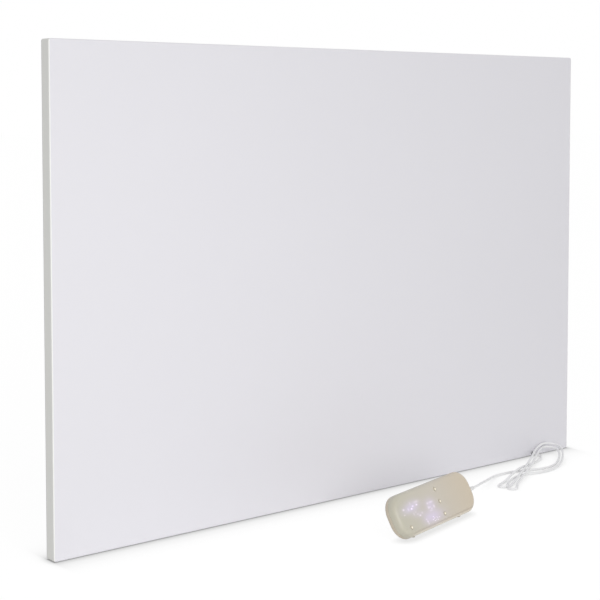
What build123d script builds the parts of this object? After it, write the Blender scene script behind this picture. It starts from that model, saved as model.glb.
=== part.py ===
from build123d import *
import math
import os

# All sizes in millimetres. X runs along the panel's width, Y from its front to its back, Z up.
# The origin is the middle of the panel's bottom face, on the floor.

# Panel
panel_width = 900
panel_height = 600
panel_depth = 17
corner_radius = 3
edge_radius = 1.5
sheet = 1.2
lip_width = 12
cover_thickness = 1.0
half_depth = panel_depth / 2

# Layers behind the front sheet
layer_margin = 14
mica_thickness = 0.5
film_thickness = 0.5
foil_thickness = 0.4

# Heating film
film_margin_left = 22
film_margin_right = 58
film_margin_top = 30
film_margin_bottom = 30
strip_count = 12
strip_gap = 8
busbar_width = 12
busbar_gap = 2
long_lead_rise = 4
lead_radius = 1.5
lead_clearance = 0.3
lead_relief = 2

# Screws that hold the rear cover
cover_screw_radius = 1.7
cover_head_radius = 3.2
cover_head_height = 1.4
cover_screw_length = 5
screw_fit = 0.05

# Wall hangers
hanger_inset = 170
hanger_spacing_x = panel_width - 2 * hanger_inset
hanger_spacing_z = 360
hanger_centre_z = 310
hanger_width = 44
hanger_height = 56
hanger_sheet = 2
hanger_corner = 6
hanger_standoff = 14
hanger_foot = 16
keyhole_radius = 4.5
keyhole_slot_radius = 2.5
keyhole_slot_rise = 12
rivet_radius = 2
rivet_head_radius = 3.6
rivet_head_height = 1.2

# Terminal box on the rear cover
box_width = 116
box_height = 84
box_depth = 26
box_wall = 2.2
box_inset = 74
box_centre_x = panel_width / 2 - box_inset
box_bottom = 28
box_corner = 6
lid_thickness = 2.2
post_radius = 4
post_sink = 1
box_screw_radius = 1.5
box_head_radius = 2.9
box_head_height = 1.8
lid_screw_length = 10
base_screw_reach = 30
base_screw_spacing = 42
base_screw_rise = 30
earth_inset = 20
earth_rise = 16
earth_radius = 2
earth_length = 14
earth_nut_radius = 3.8
earth_nut_height = 3

# Mains gland under the terminal box, made for an 8 mm lead
gland_bore_radius = 4
gland_thread_radius = 6
gland_nose_radius = 7.5
gland_length = 12
gland_thread_length = 5
gland_hex_height = 4
lock_nut_height = 3.5
lock_nut_reach = 3.2
gland_reach = 28
gland_x = box_centre_x + gland_reach

# Thermal cut-outs
cutout_reach = 280
cutout_radius = 8
cutout_height = 8
pocket_clearance = 1
cutout_tab_width = 4
cutout_tab_reach = 1.4
cutout_tab_thickness = 2
press_pad_inset = 2

# In the terminal box
block_reach = 26
block_rise = 2
block_height = 18
block_depth = 13
pole_pitch = 10
pole_radius = 2.4
pole_depth = 5
relay_board_reach = 26
relay_board_width = 46
relay_board_height = 34
relay_board_rise = 5
relay_board_thickness = 1.6
relay_board_lift = 6
relay_width = 19
relay_height = 15
relay_depth = 12
relay_shift = 8

# Sensor of the panel's surface
sensor_reach = 60
sensor_rise = 30
sensor_width = 12
sensor_height = 8
sensor_thickness = 4
sensor_clearance = 1

# Signal cord and its way into the panel
cord_diameter = 3.2
grommet_inset = 6
grommet_x = box_centre_x - grommet_inset
grommet_z = 3.4
grommet_neck_radius = 1.9
grommet_flare_radius = 2.6
grommet_nose = 2.6

# Hand control: its own axes are along its length, up its face, and out of its face
control_length = 178
control_face = 54
control_depth = 18
control_corner = 22
control_wall = 2
front_round = 6
back_round = 5
parting = -2
control_tilt = 62
control_yaw = 14.5
control_x = -9.9
control_y = -176.5
foot_height = 0.6
foot_socket = 1.2
foot_radius = 3
foot_spacing = 110
boss_radius = 3
case_screw_inset = 11
case_screw_reach = control_length / 2 - case_screw_inset
case_screw_rise = 14
case_screw_radius = 1.25
case_screw_bite = 5.5
case_head_radius = 2.3
case_head_gap = 0.2
back_shelf = 2.5
boot_rise = -1.5
boot_length = 20
boot_radius = 3.2
boot_tip_radius = 2.3
boot_root = 4
boot_collar = 1

# Keys
key_radius = 2.6
key_proud = 0.9
key_travel = 0.5
key_gap = 0.2
key_flange = 1.2
key_flange_thickness = 0.8
key_stem_radius = 1.5
key_column_x = 7.3
key_rows = (15.4, -0.6, -16.8)
power_key_inset = 18
power_key_x = power_key_inset - control_length / 2
power_key_y = -16.1
key_names = ("key_up", "key_down", "key_timer")

# Fold-out stand
stand_width = 70
stand_length = 42
stand_thickness = 2.2
stand_barrel_radius = 1.7
stand_pin_radius = 1.0
stand_pin_clearance = 0.05
stand_hinge_rise = 18
stand_recess_floor = 1.6
stand_side_gap = 0.5
stand_end_gap = 1
stand_pin_overhang = 3
pad_length = 1.6
pad_inset = 3
pad_lift = 0.1

# Circuit board in the hand control
board_end_gap = 14.5
board_length = control_length - 2 * board_end_gap
board_width = 40
board_thickness = 1.4
board_post_inset = 12.5
board_post_reach = board_length / 2 - board_post_inset
board_post_rise = 15
board_post_radius = 2.6
board_screw_radius = 1.0
board_head_radius = 1.9
board_head_height = 1.3
board_screw_bite = 3.5
board_face = 0
display_x = -51
display_y = 1
digit_height = 15
digit_width = 8.5
digit_pitch = 12.5
segment_width = 1.8
module_height = 4.4
module_margin = 2
digit_lift = 0.8
icon_places = ((-13, -0.5), (-14, -15), (-33, -15))
icon_width = 5
icon_height = 4
icon_window = 8
light_rise = 3
mask_end_gap = 16
mask_stop = 5
mask_width = control_length / 2 - mask_end_gap - mask_stop
mask_x = -mask_stop - mask_width / 2
mask_height = 36
mask_thickness = 1.0
switch_width = 6
switch_height = 2.5
switch_dome_radius = 1.7
switch_dome_height = 0.7
chip_place = (30, 2)
chip_width = 12
chip_height = 1.4
buzzer_place = (48, 8)
buzzer_radius = 5
buzzer_height = 5
buzzer_hole_radius = 1
connector_place = (57, -6)
connector_width = 7
connector_length = 12
connector_height = 5
connector_pitch = 2.5
connector_hole_radius = 0.7
connector_hole_depth = 3
room_sensor_place = (40, -14)
room_sensor_width = 5
room_sensor_length = 3
room_sensor_height = 3

os.makedirs("parts", exist_ok=True)


def write(piece, name):
    piece.part.label = name
    export_step(piece.part, f"parts/{name}.step")


def depth_plane(y):
    # A plane across the panel at depth y, facing the front. On it, y is the height.
    return Plane.XZ.offset(-y)


def rear_plane(y):
    # A plane across the panel at depth y, facing the rear. On it, x runs to the panel's left.
    return Plane(origin=(0, y, 0), x_dir=(-1, 0, 0), z_dir=(0, 1, 0))


# ---- Panel shell ----

front_y = -half_depth
cover_y = half_depth - cover_thickness
lip_y = cover_y - sheet
inner_width = panel_width - 2 * sheet
inner_height = panel_height - 2 * sheet
mid_z = panel_height / 2

screw_line = sheet + lip_width / 2
cover_screws = []
for step in range(-3, 4):
    screw_x = step * (panel_width / 2 - screw_line) / 3
    cover_screws.append((screw_x, screw_line))
    cover_screws.append((screw_x, panel_height - screw_line))
for share in (1 / 3, 2 / 3):
    cover_screws.append((panel_width / 2 - screw_line, panel_height * share))
    cover_screws.append((screw_line - panel_width / 2, panel_height * share))

with BuildPart() as front_tray:
    with BuildSketch(depth_plane(cover_y)):
        with Locations((0, mid_z)):
            RectangleRounded(panel_width, panel_height, corner_radius)
    extrude(amount=cover_y - front_y)
    fillet(front_tray.faces().sort_by(Axis.Y)[0].edges(), edge_radius)
    with BuildSketch(depth_plane(lip_y)):
        with Locations((0, mid_z)):
            RectangleRounded(inner_width, inner_height, corner_radius - sheet)
    extrude(amount=lip_y - front_y - sheet, mode=Mode.SUBTRACT)
    with BuildSketch(depth_plane(cover_y)):
        with Locations((0, mid_z)):
            Rectangle(inner_width - 2 * lip_width, inner_height - 2 * lip_width)
    extrude(amount=sheet, mode=Mode.SUBTRACT)
    with BuildSketch(depth_plane(cover_y)):
        with Locations(*cover_screws):
            Circle(cover_screw_radius + screw_fit)
    extrude(amount=sheet, mode=Mode.SUBTRACT)
    with BuildSketch(depth_plane(front_y + sheet)):
        with Locations((grommet_x, grommet_z)):
            Circle(grommet_neck_radius)
    extrude(amount=sheet, mode=Mode.SUBTRACT)
write(front_tray, "front_tray")

# ---- Terminal box places, which the cover, board and films make room for ----

box_top = box_bottom + box_height
box_mid_z = box_bottom + box_height / 2
box_y = half_depth
box_floor_y = box_y + box_wall
box_lid_y = box_y + box_depth
film_left = film_margin_left - panel_width / 2
film_right = panel_width / 2 - film_margin_right
film_bottom = film_margin_bottom
film_top = panel_height - film_margin_top
strip_pitch = (film_top - film_bottom + strip_gap) / strip_count
strip_width = strip_pitch - strip_gap
bus_x = film_right + busbar_width / 2
short_lead_z = film_bottom + strip_width / 2
long_lead_z = short_lead_z + strip_pitch + long_lead_rise
lead_places = [(bus_x, short_lead_z), (bus_x, long_lead_z)]
signal_up_y = 2.0
signal_exit_z = 70
signal_hole_radius = 2.4
base_screw_x = box_centre_x - base_screw_reach
base_screw_z = box_mid_z + base_screw_rise
box_screws = [(base_screw_x, base_screw_z), (base_screw_x + base_screw_spacing, base_screw_z)]
cutouts = [(0, mid_z), (cutout_reach, mid_z)]
earth_place = (box_centre_x - box_width / 2 + earth_inset, box_bottom + earth_rise)

rivets = []
hangers = []
for side in (-1, 1):
    for level in (-1, 1):
        hanger_x = side * hanger_spacing_x / 2
        hanger_z = hanger_centre_z + level * hanger_spacing_z / 2
        hangers.append((hanger_x, hanger_z))
        for shift in (-1, 1):
            rivet_x = hanger_x + shift * hanger_width / 4
            rivet_z = hanger_z - hanger_height / 2 - hanger_foot / 2
            rivets.append((rivet_x, rivet_z))

with BuildPart() as rear_cover:
    with BuildSketch(depth_plane(half_depth)):
        with Locations((0, mid_z)):
            RectangleRounded(panel_width, panel_height, corner_radius)
        with Locations(*cover_screws):
            Circle(cover_screw_radius + screw_fit, mode=Mode.SUBTRACT)
        with Locations(*rivets):
            Circle(rivet_radius, mode=Mode.SUBTRACT)
        with Locations(*lead_places):
            Circle(lead_radius + lead_clearance, mode=Mode.SUBTRACT)
        with Locations((grommet_x, signal_exit_z)):
            Circle(signal_hole_radius, mode=Mode.SUBTRACT)
        with Locations(*box_screws):
            Circle(box_screw_radius, mode=Mode.SUBTRACT)
        with Locations(earth_place):
            Circle(earth_radius, mode=Mode.SUBTRACT)
    extrude(amount=cover_thickness)
write(rear_cover, "rear_cover")

with BuildPart() as cover_screw_set:
    with BuildSketch(rear_plane(half_depth)):
        with Locations(*[(-x, z) for x, z in cover_screws]):
            Circle(cover_head_radius)
    extrude(amount=cover_head_height)
    with BuildSketch(depth_plane(half_depth)):
        with Locations(*cover_screws):
            Circle(cover_screw_radius)
    extrude(amount=cover_thickness + sheet)
write(cover_screw_set, "cover_screws")

# ---- Heating layers, front to rear, each lying on the one before ----

layer_width = inner_width - 2 * layer_margin
layer_height = inner_height - 2 * layer_margin
mica_y = front_y + sheet
film_y = mica_y + mica_thickness
rear_mica_y = film_y + film_thickness
foil_y = rear_mica_y + mica_thickness
board_y = foil_y + foil_thickness

with BuildPart() as front_mica:
    with BuildSketch(depth_plane(film_y)):
        with Locations((0, mid_z)):
            Rectangle(layer_width, layer_height)
    extrude(amount=mica_thickness)
write(front_mica, "front_mica_sheet")

with BuildPart() as heating_film:
    with BuildSketch(depth_plane(rear_mica_y)):
        for row in range(strip_count):
            row_z = film_bottom + strip_width / 2 + row * strip_pitch
            with Locations(((film_left + film_right) / 2, row_z)):
                Rectangle(film_right - film_left, strip_width)
        for row in range(strip_count - 1):
            turn_z = film_bottom + strip_width + row * strip_pitch + strip_gap / 2
            turn_x = film_left + strip_width / 2 if row % 2 == 0 else film_right - strip_width / 2
            with Locations((turn_x, turn_z)):
                Rectangle(strip_width, strip_gap)
    extrude(amount=film_thickness)
write(heating_film, "heating_film")

with BuildPart() as busbars:
    with BuildSketch(depth_plane(rear_mica_y)):
        with Locations((bus_x, short_lead_z)):
            Rectangle(busbar_width, strip_width)
        long_bottom = long_lead_z - strip_width / 2
        with Locations((bus_x + busbar_gap / 2, (film_top + long_bottom) / 2)):
            Rectangle(busbar_width - busbar_gap, film_top - long_bottom)
        with Locations((film_right + busbar_gap, film_top - strip_width / 2)):
            Rectangle(2 * busbar_gap, strip_width)
    extrude(amount=film_thickness)
write(busbars, "busbars")

with BuildPart() as rear_mica:
    with BuildSketch(depth_plane(foil_y)):
        with Locations((0, mid_z)):
            Rectangle(layer_width, layer_height)
        with Locations(*lead_places):
            Circle(lead_radius + lead_clearance, mode=Mode.SUBTRACT)
    extrude(amount=mica_thickness)
write(rear_mica, "rear_mica_sheet")

with BuildPart() as reflector_foil:
    with BuildSketch(depth_plane(board_y)):
        with Locations((0, mid_z)):
            Rectangle(layer_width, layer_height)
        with Locations(*lead_places):
            Circle(lead_radius + lead_relief, mode=Mode.SUBTRACT)
    extrude(amount=foil_thickness)
write(reflector_foil, "reflector_foil")

sensor_place = (box_centre_x - sensor_reach, box_top + sensor_rise)

with BuildPart() as insulation_board:
    with BuildSketch(depth_plane(lip_y)):
        with Locations((0, mid_z)):
            Rectangle(layer_width, layer_height)
        with Locations(*cutouts):
            Circle(cutout_radius + pocket_clearance, mode=Mode.SUBTRACT)
        with Locations(*lead_places):
            Circle(lead_radius + lead_relief, mode=Mode.SUBTRACT)
        with Locations(sensor_place):
            Rectangle(
                sensor_width + 2 * sensor_clearance,
                sensor_height + 2 * sensor_clearance,
                mode=Mode.SUBTRACT,
            )
        channel_bottom = mid_z - layer_height / 2
        channel_top = signal_exit_z + 2 * cord_diameter
        with Locations((grommet_x, (channel_bottom + channel_top) / 2)):
            Rectangle(2 * cord_diameter, channel_top - channel_bottom, mode=Mode.SUBTRACT)
    extrude(amount=lip_y - board_y)
write(insulation_board, "insulation_board")

with BuildPart() as cutout_set:
    with BuildSketch(depth_plane(board_y + cutout_height)):
        with Locations(*cutouts):
            Circle(cutout_radius)
    extrude(amount=cutout_height)
    with BuildSketch(depth_plane(board_y + cutout_height)):
        for x, z in cutouts:
            with Locations((x - cutout_radius, z), (x + cutout_radius, z)):
                Rectangle(cutout_tab_reach, cutout_tab_width)
    extrude(amount=cutout_tab_thickness)
write(cutout_set, "thermal_cutouts")

with BuildPart() as press_pads:
    with BuildSketch(depth_plane(cover_y)):
        with Locations(*cutouts):
            Circle(cutout_radius - press_pad_inset)
    extrude(amount=cover_y - board_y - cutout_height)
write(press_pads, "cutout_press_pads")

with BuildPart() as surface_sensor:
    with BuildSketch(depth_plane(board_y + sensor_thickness)):
        with Locations(sensor_place):
            RectangleRounded(sensor_width, sensor_height, 2)
    extrude(amount=sensor_thickness)
write(surface_sensor, "surface_sensor")

# ---- Wall hangers: a foot riveted to the cover, a web, and a keyhole plate ----

plate_y = half_depth + hanger_standoff
with BuildPart() as wall_hangers:
    for hanger_x, hanger_z in hangers:
        foot_z = hanger_z - hanger_height / 2 - hanger_foot / 2
        web_z = hanger_z - hanger_height / 2 - hanger_sheet / 2
        with BuildSketch(rear_plane(half_depth)):
            with Locations((-hanger_x, foot_z)):
                Rectangle(hanger_width, hanger_foot)
        extrude(amount=hanger_sheet)
        with BuildSketch(rear_plane(half_depth)):
            with Locations((-hanger_x, web_z)):
                Rectangle(hanger_width, hanger_sheet)
        extrude(amount=hanger_standoff)
        with BuildSketch(rear_plane(plate_y - hanger_sheet)) as plate:
            with Locations((-hanger_x, hanger_z - hanger_sheet / 2)):
                Rectangle(hanger_width, hanger_height + hanger_sheet)
            fillet(plate.vertices().group_by(Axis.Y)[-1], hanger_corner)
        extrude(amount=hanger_sheet)
    with BuildSketch(rear_plane(plate_y - hanger_sheet)):
        for hanger_x, hanger_z in hangers:
            with Locations((-hanger_x, hanger_z)):
                Circle(keyhole_radius)
            with Locations((-hanger_x, hanger_z + keyhole_slot_rise / 2)):
                Rectangle(2 * keyhole_slot_radius, keyhole_slot_rise)
            with Locations((-hanger_x, hanger_z + keyhole_slot_rise)):
                Circle(keyhole_slot_radius)
    extrude(amount=hanger_sheet, mode=Mode.SUBTRACT)
    with BuildSketch(rear_plane(half_depth)):
        with Locations(*[(-x, z) for x, z in rivets]):
            Circle(rivet_radius)
    extrude(amount=hanger_sheet, mode=Mode.SUBTRACT)
write(wall_hangers, "wall_hangers")

with BuildPart() as rivet_set:
    with BuildSketch(depth_plane(half_depth + hanger_sheet)):
        with Locations(*rivets):
            Circle(rivet_radius)
    extrude(amount=hanger_sheet + cover_thickness)
    with BuildSketch(rear_plane(half_depth + hanger_sheet)):
        with Locations(*[(-x, z) for x, z in rivets]):
            Circle(rivet_head_radius)
    extrude(amount=rivet_head_height)
    fillet(rivet_set.edges().group_by(Axis.Y)[-1], rivet_head_height * 0.6)
write(rivet_set, "hanger_rivets")

# ---- Terminal box ----

post_inset = box_wall + post_radius - post_sink
box_posts = []
for side in (-1, 1):
    for level in (-1, 1):
        post_x = box_centre_x + side * (box_width / 2 - post_inset)
        post_z = box_mid_z + level * (box_height / 2 - post_inset)
        box_posts.append((post_x, post_z))
relay_board_x = box_centre_x - relay_board_reach
relay_board_z = box_mid_z + relay_board_lift
relay_post_radius = 3
relay_post_inset = 4

with BuildPart() as terminal_box:
    with BuildSketch(rear_plane(box_y)):
        with Locations((-box_centre_x, box_mid_z)):
            RectangleRounded(box_width, box_height, box_corner)
    extrude(amount=box_depth)
    with BuildSketch(rear_plane(box_floor_y)):
        with Locations((-box_centre_x, box_mid_z)):
            RectangleRounded(
                box_width - 2 * box_wall, box_height - 2 * box_wall, box_corner - box_wall
            )
    extrude(amount=box_depth - box_wall, mode=Mode.SUBTRACT)
    with BuildSketch(rear_plane(box_floor_y)):
        with Locations(*[(-x, z) for x, z in box_posts]):
            Circle(post_radius)
    extrude(amount=box_depth - box_wall)
    with BuildSketch(rear_plane(box_floor_y)):
        for side in (-1, 1):
            post_x = relay_board_x + side * (relay_board_width / 2 - relay_post_inset)
            with Locations((-post_x, relay_board_z)):
                Circle(relay_post_radius)
    extrude(amount=relay_board_rise)
    with BuildSketch(rear_plane(box_lid_y - lid_screw_length - 2)):
        with Locations(*[(-x, z) for x, z in box_posts]):
            Circle(box_screw_radius + screw_fit)
    extrude(amount=lid_screw_length + 2, mode=Mode.SUBTRACT)
    with BuildSketch(rear_plane(box_y)):
        with Locations(*[(-x, z) for x, z in lead_places]):
            Circle(lead_radius + lead_clearance)
        with Locations((-grommet_x, signal_exit_z)):
            Circle(signal_hole_radius)
        with Locations(*[(-x, z) for x, z in box_screws]):
            Circle(box_screw_radius + screw_fit)
        with Locations((-earth_place[0], earth_place[1])):
            Circle(earth_radius)
    extrude(amount=box_wall, mode=Mode.SUBTRACT)
    with BuildSketch(Plane.XY.offset(box_bottom)):
        with Locations((gland_x, box_y + box_depth / 2)):
            Circle(gland_thread_radius)
    extrude(amount=box_wall, mode=Mode.SUBTRACT)
write(terminal_box, "terminal_box")

with BuildPart() as box_lid:
    with BuildSketch(rear_plane(box_lid_y)):
        with Locations((-box_centre_x, box_mid_z)):
            RectangleRounded(box_width, box_height, box_corner)
        with Locations(*[(-x, z) for x, z in box_posts]):
            Circle(box_screw_radius + screw_fit, mode=Mode.SUBTRACT)
    extrude(amount=lid_thickness)
    fillet(box_lid.faces().sort_by(Axis.Y)[-1].outer_wire().edges(), 1.2)
write(box_lid, "terminal_box_lid")

with BuildPart() as lid_screws:
    with BuildSketch(rear_plane(box_lid_y + lid_thickness)):
        with Locations(*[(-x, z) for x, z in box_posts]):
            Circle(box_head_radius)
    extrude(amount=box_head_height)
    fillet(lid_screws.edges().group_by(Axis.Y)[-1], 0.6)
    with BuildSketch(rear_plane(box_lid_y - lid_screw_length)):
        with Locations(*[(-x, z) for x, z in box_posts]):
            Circle(box_screw_radius)
    extrude(amount=lid_screw_length + lid_thickness)
write(lid_screws, "lid_screws")

with BuildPart() as base_screws:
    with BuildSketch(rear_plane(cover_y)):
        with Locations(*[(-x, z) for x, z in box_screws]):
            Circle(box_screw_radius)
    extrude(amount=box_floor_y - cover_y)
    with BuildSketch(rear_plane(box_floor_y)):
        with Locations(*[(-x, z) for x, z in box_screws]):
            Circle(box_head_radius)
    extrude(amount=box_head_height)
write(base_screws, "base_screws")

with BuildPart() as earth_stud:
    with BuildSketch(rear_plane(cover_y)):
        with Locations((-earth_place[0], earth_place[1])):
            Circle(earth_radius)
    extrude(amount=earth_length)
    with BuildSketch(rear_plane(box_floor_y)):
        with Locations((-earth_place[0], earth_place[1])):
            RegularPolygon(earth_nut_radius, 6)
    extrude(amount=earth_nut_height)
write(earth_stud, "earth_stud")

block_x = box_centre_x + block_reach
block_z = box_mid_z + block_rise
with BuildPart() as terminal_block:
    with BuildSketch(rear_plane(box_floor_y)):
        with Locations((-block_x, block_z)):
            Rectangle(3 * pole_pitch, block_height)
    extrude(amount=block_depth)
    with BuildSketch(rear_plane(box_floor_y + block_depth)):
        with Locations((-block_x, block_z)):
            with GridLocations(pole_pitch, block_height / 2, 3, 2):
                Circle(pole_radius)
    extrude(amount=-pole_depth, mode=Mode.SUBTRACT)
    chamfer(terminal_block.faces().sort_by(Axis.Y)[-1].outer_wire().edges(), 0.8)
write(terminal_block, "terminal_block")

with BuildPart() as relay_board:
    with BuildSketch(rear_plane(box_floor_y + relay_board_rise)):
        with Locations((-relay_board_x, relay_board_z)):
            Rectangle(relay_board_width, relay_board_height)
    extrude(amount=relay_board_thickness)
write(relay_board, "relay_board")

with BuildPart() as power_relay:
    with BuildSketch(rear_plane(box_floor_y + relay_board_rise + relay_board_thickness)):
        with Locations((-relay_board_x - relay_shift, relay_board_z)):
            RectangleRounded(relay_width, relay_height, 1)
    extrude(amount=relay_depth)
    fillet(power_relay.faces().sort_by(Axis.Y)[-1].edges(), 0.8)
write(power_relay, "power_relay")

gland_y = box_y + box_depth / 2
gland_plane = Plane(origin=(gland_x, gland_y, box_bottom), x_dir=(1, 0, 0), z_dir=(0, 0, -1))
with BuildPart() as mains_gland:
    with BuildSketch(gland_plane.offset(-box_wall - gland_thread_length)):
        Circle(gland_thread_radius)
    extrude(amount=box_wall + gland_thread_length)
    with BuildSketch(gland_plane):
        RegularPolygon(gland_nose_radius + 1, 6)
    extrude(amount=gland_hex_height)
    with BuildSketch(gland_plane.offset(gland_hex_height)):
        Circle(gland_nose_radius)
    extrude(amount=gland_length - gland_hex_height)
    fillet(mains_gland.edges().group_by(Axis.Z)[0], 2)
    with BuildSketch(gland_plane.offset(-box_wall - gland_thread_length)):
        Circle(gland_bore_radius)
    extrude(amount=box_wall + gland_thread_length + gland_length, mode=Mode.SUBTRACT)
write(mains_gland, "mains_gland")

with BuildPart() as lock_nut:
    with BuildSketch(gland_plane.offset(-box_wall - lock_nut_height)):
        RegularPolygon(gland_thread_radius + lock_nut_reach, 6)
        Circle(gland_thread_radius, mode=Mode.SUBTRACT)
    extrude(amount=lock_nut_height)
write(lock_nut, "gland_lock_nut")

lead_bend = 4
lead_y = box_floor_y + block_depth / 2
with BuildPart() as element_leads:
    for lead_z, side in ((short_lead_z, -1), (long_lead_z, 1)):
        with BuildLine() as lead_path:
            FilletPolyline(
                (bus_x, rear_mica_y, lead_z),
                (bus_x, lead_y, lead_z),
                (bus_x, lead_y, block_z + side * block_height / 2),
                radius=lead_bend,
            )
        with BuildSketch(Plane(origin=lead_path.wire() @ 0, z_dir=lead_path.wire() % 0)):
            Circle(lead_radius)
        sweep(path=lead_path.wire())
write(element_leads, "element_leads")

# ---- Hand control: three axes of its own, leaning back on its stand ----

yaw = math.radians(control_yaw)
tilt = math.radians(control_tilt)
along = Vector(math.cos(yaw), math.sin(yaw), 0)
rearward = Vector(-math.sin(yaw), math.cos(yaw), 0)
face_up = rearward * math.cos(tilt) + Vector(0, 0, math.sin(tilt))
face_out = along.cross(face_up)
low_reach = (control_face / 2 - back_round) * math.sin(tilt)
low_reach += (control_depth / 2 - back_round) * math.cos(tilt) + back_round
control_z = low_reach + foot_height
control_origin = Vector(control_x, control_y, control_z)
control_plane = Plane(origin=control_origin, x_dir=along, z_dir=face_out)
out_axis = Axis(control_origin, face_out)
face_level = control_depth / 2
back_level = -control_depth / 2
inner_face = face_level - control_wall
inner_back = back_level + control_wall


def control_level(height):
    # A plane across the hand control, parallel to its face.
    return control_plane.offset(height)


keys = [(key_column_x, row) for row in key_rows]
keys.append((power_key_x, power_key_y))

case_screw_places = [
    (side * case_screw_reach, row * case_screw_rise) for side in (-1, 1) for row in (-1, 1)
]
boot_spot = control_origin + along * (control_length / 2) + face_out * parting + face_up * boot_rise
end_plane = Plane(origin=boot_spot, x_dir=face_out, z_dir=along)

with BuildPart() as front_case:
    with BuildSketch(control_level(parting)):
        RectangleRounded(control_length, control_face, control_corner)
    extrude(amount=face_level - parting)
    fillet(front_case.faces().sort_by(out_axis)[-1].edges(), front_round)
    with BuildSketch(control_level(parting)):
        RectangleRounded(
            control_length - 2 * control_wall,
            control_face - 2 * control_wall,
            control_corner - control_wall,
        )
    extrude(amount=inner_face - parting - front_round + control_wall, mode=Mode.SUBTRACT)
    with BuildSketch(control_level(inner_face - front_round + control_wall)):
        RectangleRounded(
            control_length - 2 * front_round,
            control_face - 2 * front_round,
            control_corner - front_round,
        )
    extrude(amount=front_round - control_wall, mode=Mode.SUBTRACT)
    with BuildSketch(control_level(parting)):
        with Locations(*case_screw_places):
            Circle(boss_radius)
    extrude(amount=inner_face - parting)
    with BuildSketch(control_level(parting)):
        with Locations(*case_screw_places):
            Circle(case_screw_radius + screw_fit)
    extrude(amount=case_screw_bite + 0.5, mode=Mode.SUBTRACT)
    with BuildSketch(control_level(inner_face)):
        with Locations(*keys):
            Circle(key_radius + key_gap)
    extrude(amount=control_wall, mode=Mode.SUBTRACT)
    with BuildSketch(end_plane.offset(-boot_root)):
        Circle(boot_radius)
    extrude(amount=boot_root + control_wall, mode=Mode.SUBTRACT)
write(front_case, "front_case")

# The stand folds into a recess in the back case, on a pin below its upper edge.
stand_hinge_level = back_level + stand_barrel_radius + 0.2
recess_top = stand_hinge_rise + stand_barrel_radius + stand_side_gap
recess_bottom = stand_hinge_rise - stand_length - stand_end_gap
recess_depth = 2 * stand_barrel_radius + stand_side_gap
recess_level = back_level + recess_depth
recess_mid = (recess_top + recess_bottom) / 2
recess_width = stand_width + 2 * stand_side_gap
stand_pin_length = recess_width + 2 * stand_pin_overhang
hinge_point = control_origin + face_up * stand_hinge_rise + face_out * stand_hinge_level
board_post_places = [
    (side * board_post_reach, row * board_post_rise) for side in (-1, 1) for row in (-1, 1)
]
pin_plane = Plane(
    origin=hinge_point - along * (stand_pin_length / 2), x_dir=face_up, z_dir=along
)
lowest_rise = -(control_face / 2 - back_round)
lowest_level = back_level + back_round
floor_contact = control_origin + face_up * lowest_rise + face_out * lowest_level
foot_spots = []
for side in (-1, 1):
    foot_spot = floor_contact + along * (side * foot_spacing / 2)
    foot_spots.append((foot_spot.X, foot_spot.Y))

with BuildPart() as back_case:
    with BuildSketch(control_level(parting)):
        RectangleRounded(control_length, control_face, control_corner)
    extrude(amount=back_level - parting)
    fillet(back_case.faces().sort_by(out_axis)[0].edges(), back_round)
    with BuildSketch(control_level(parting)):
        RectangleRounded(
            control_length - 2 * control_wall - 2 * back_shelf,
            control_face - 2 * control_wall - 2 * back_shelf,
            control_corner - control_wall - back_shelf,
        )
    extrude(amount=inner_back - parting, mode=Mode.SUBTRACT)
    with BuildSketch(control_level(inner_back)):
        with Locations((0, recess_mid)):
            Rectangle(
                stand_pin_length + 2 * stand_recess_floor,
                recess_top - recess_bottom + 2 * stand_recess_floor,
            )
    extrude(amount=recess_depth + stand_recess_floor - control_wall)
    with BuildSketch(control_level(back_level)):
        with Locations((0, recess_mid)):
            Rectangle(recess_width, recess_top - recess_bottom)
    extrude(amount=recess_depth, mode=Mode.SUBTRACT)
    with BuildSketch(pin_plane):
        Circle(stand_pin_radius)
    extrude(amount=stand_pin_length, mode=Mode.SUBTRACT)
    with BuildSketch(control_level(inner_back)):
        with Locations(*case_screw_places):
            Circle(boss_radius)
    extrude(amount=parting - inner_back)
    with BuildSketch(control_level(inner_back)):
        with Locations(*board_post_places):
            Circle(board_post_radius)
    extrude(amount=board_face - board_thickness - inner_back)
    with BuildSketch(control_level(board_face - board_thickness)):
        with Locations(*board_post_places):
            Circle(board_screw_radius)
    extrude(amount=-board_screw_bite - 0.5, mode=Mode.SUBTRACT)
    with BuildSketch(control_level(back_level)):
        with Locations(*case_screw_places):
            Circle(case_screw_radius + case_head_gap)
    extrude(amount=parting - back_level, mode=Mode.SUBTRACT)
    with BuildSketch(control_level(back_level)):
        with Locations(*case_screw_places):
            Circle(case_head_radius + case_head_gap)
    extrude(amount=control_wall, mode=Mode.SUBTRACT)
    with BuildSketch(end_plane.offset(-boot_root - back_shelf)):
        Circle(boot_radius)
    extrude(amount=boot_root + back_shelf + control_wall, mode=Mode.SUBTRACT)
    with BuildSketch(Plane.XY):
        with Locations(*foot_spots):
            Circle(foot_radius)
    extrude(amount=foot_height + foot_socket, mode=Mode.SUBTRACT)
write(back_case, "back_case")

with BuildPart() as case_screws:
    with BuildSketch(control_level(back_level + case_head_gap)):
        with Locations(*case_screw_places):
            Circle(case_head_radius)
    extrude(amount=control_wall - case_head_gap)
    with BuildSketch(control_level(inner_back)):
        with Locations(*case_screw_places):
            Circle(case_screw_radius)
    extrude(amount=parting - inner_back + case_screw_bite)
write(case_screws, "case_screws")

# ---- Circuit board, lights and switches ----

with BuildPart() as control_board:
    with BuildSketch(control_level(board_face)):
        RectangleRounded(board_length, board_width, 4)
        with Locations(*board_post_places):
            Circle(board_screw_radius + screw_fit, mode=Mode.SUBTRACT)
    extrude(amount=-board_thickness)
write(control_board, "control_board")

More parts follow.
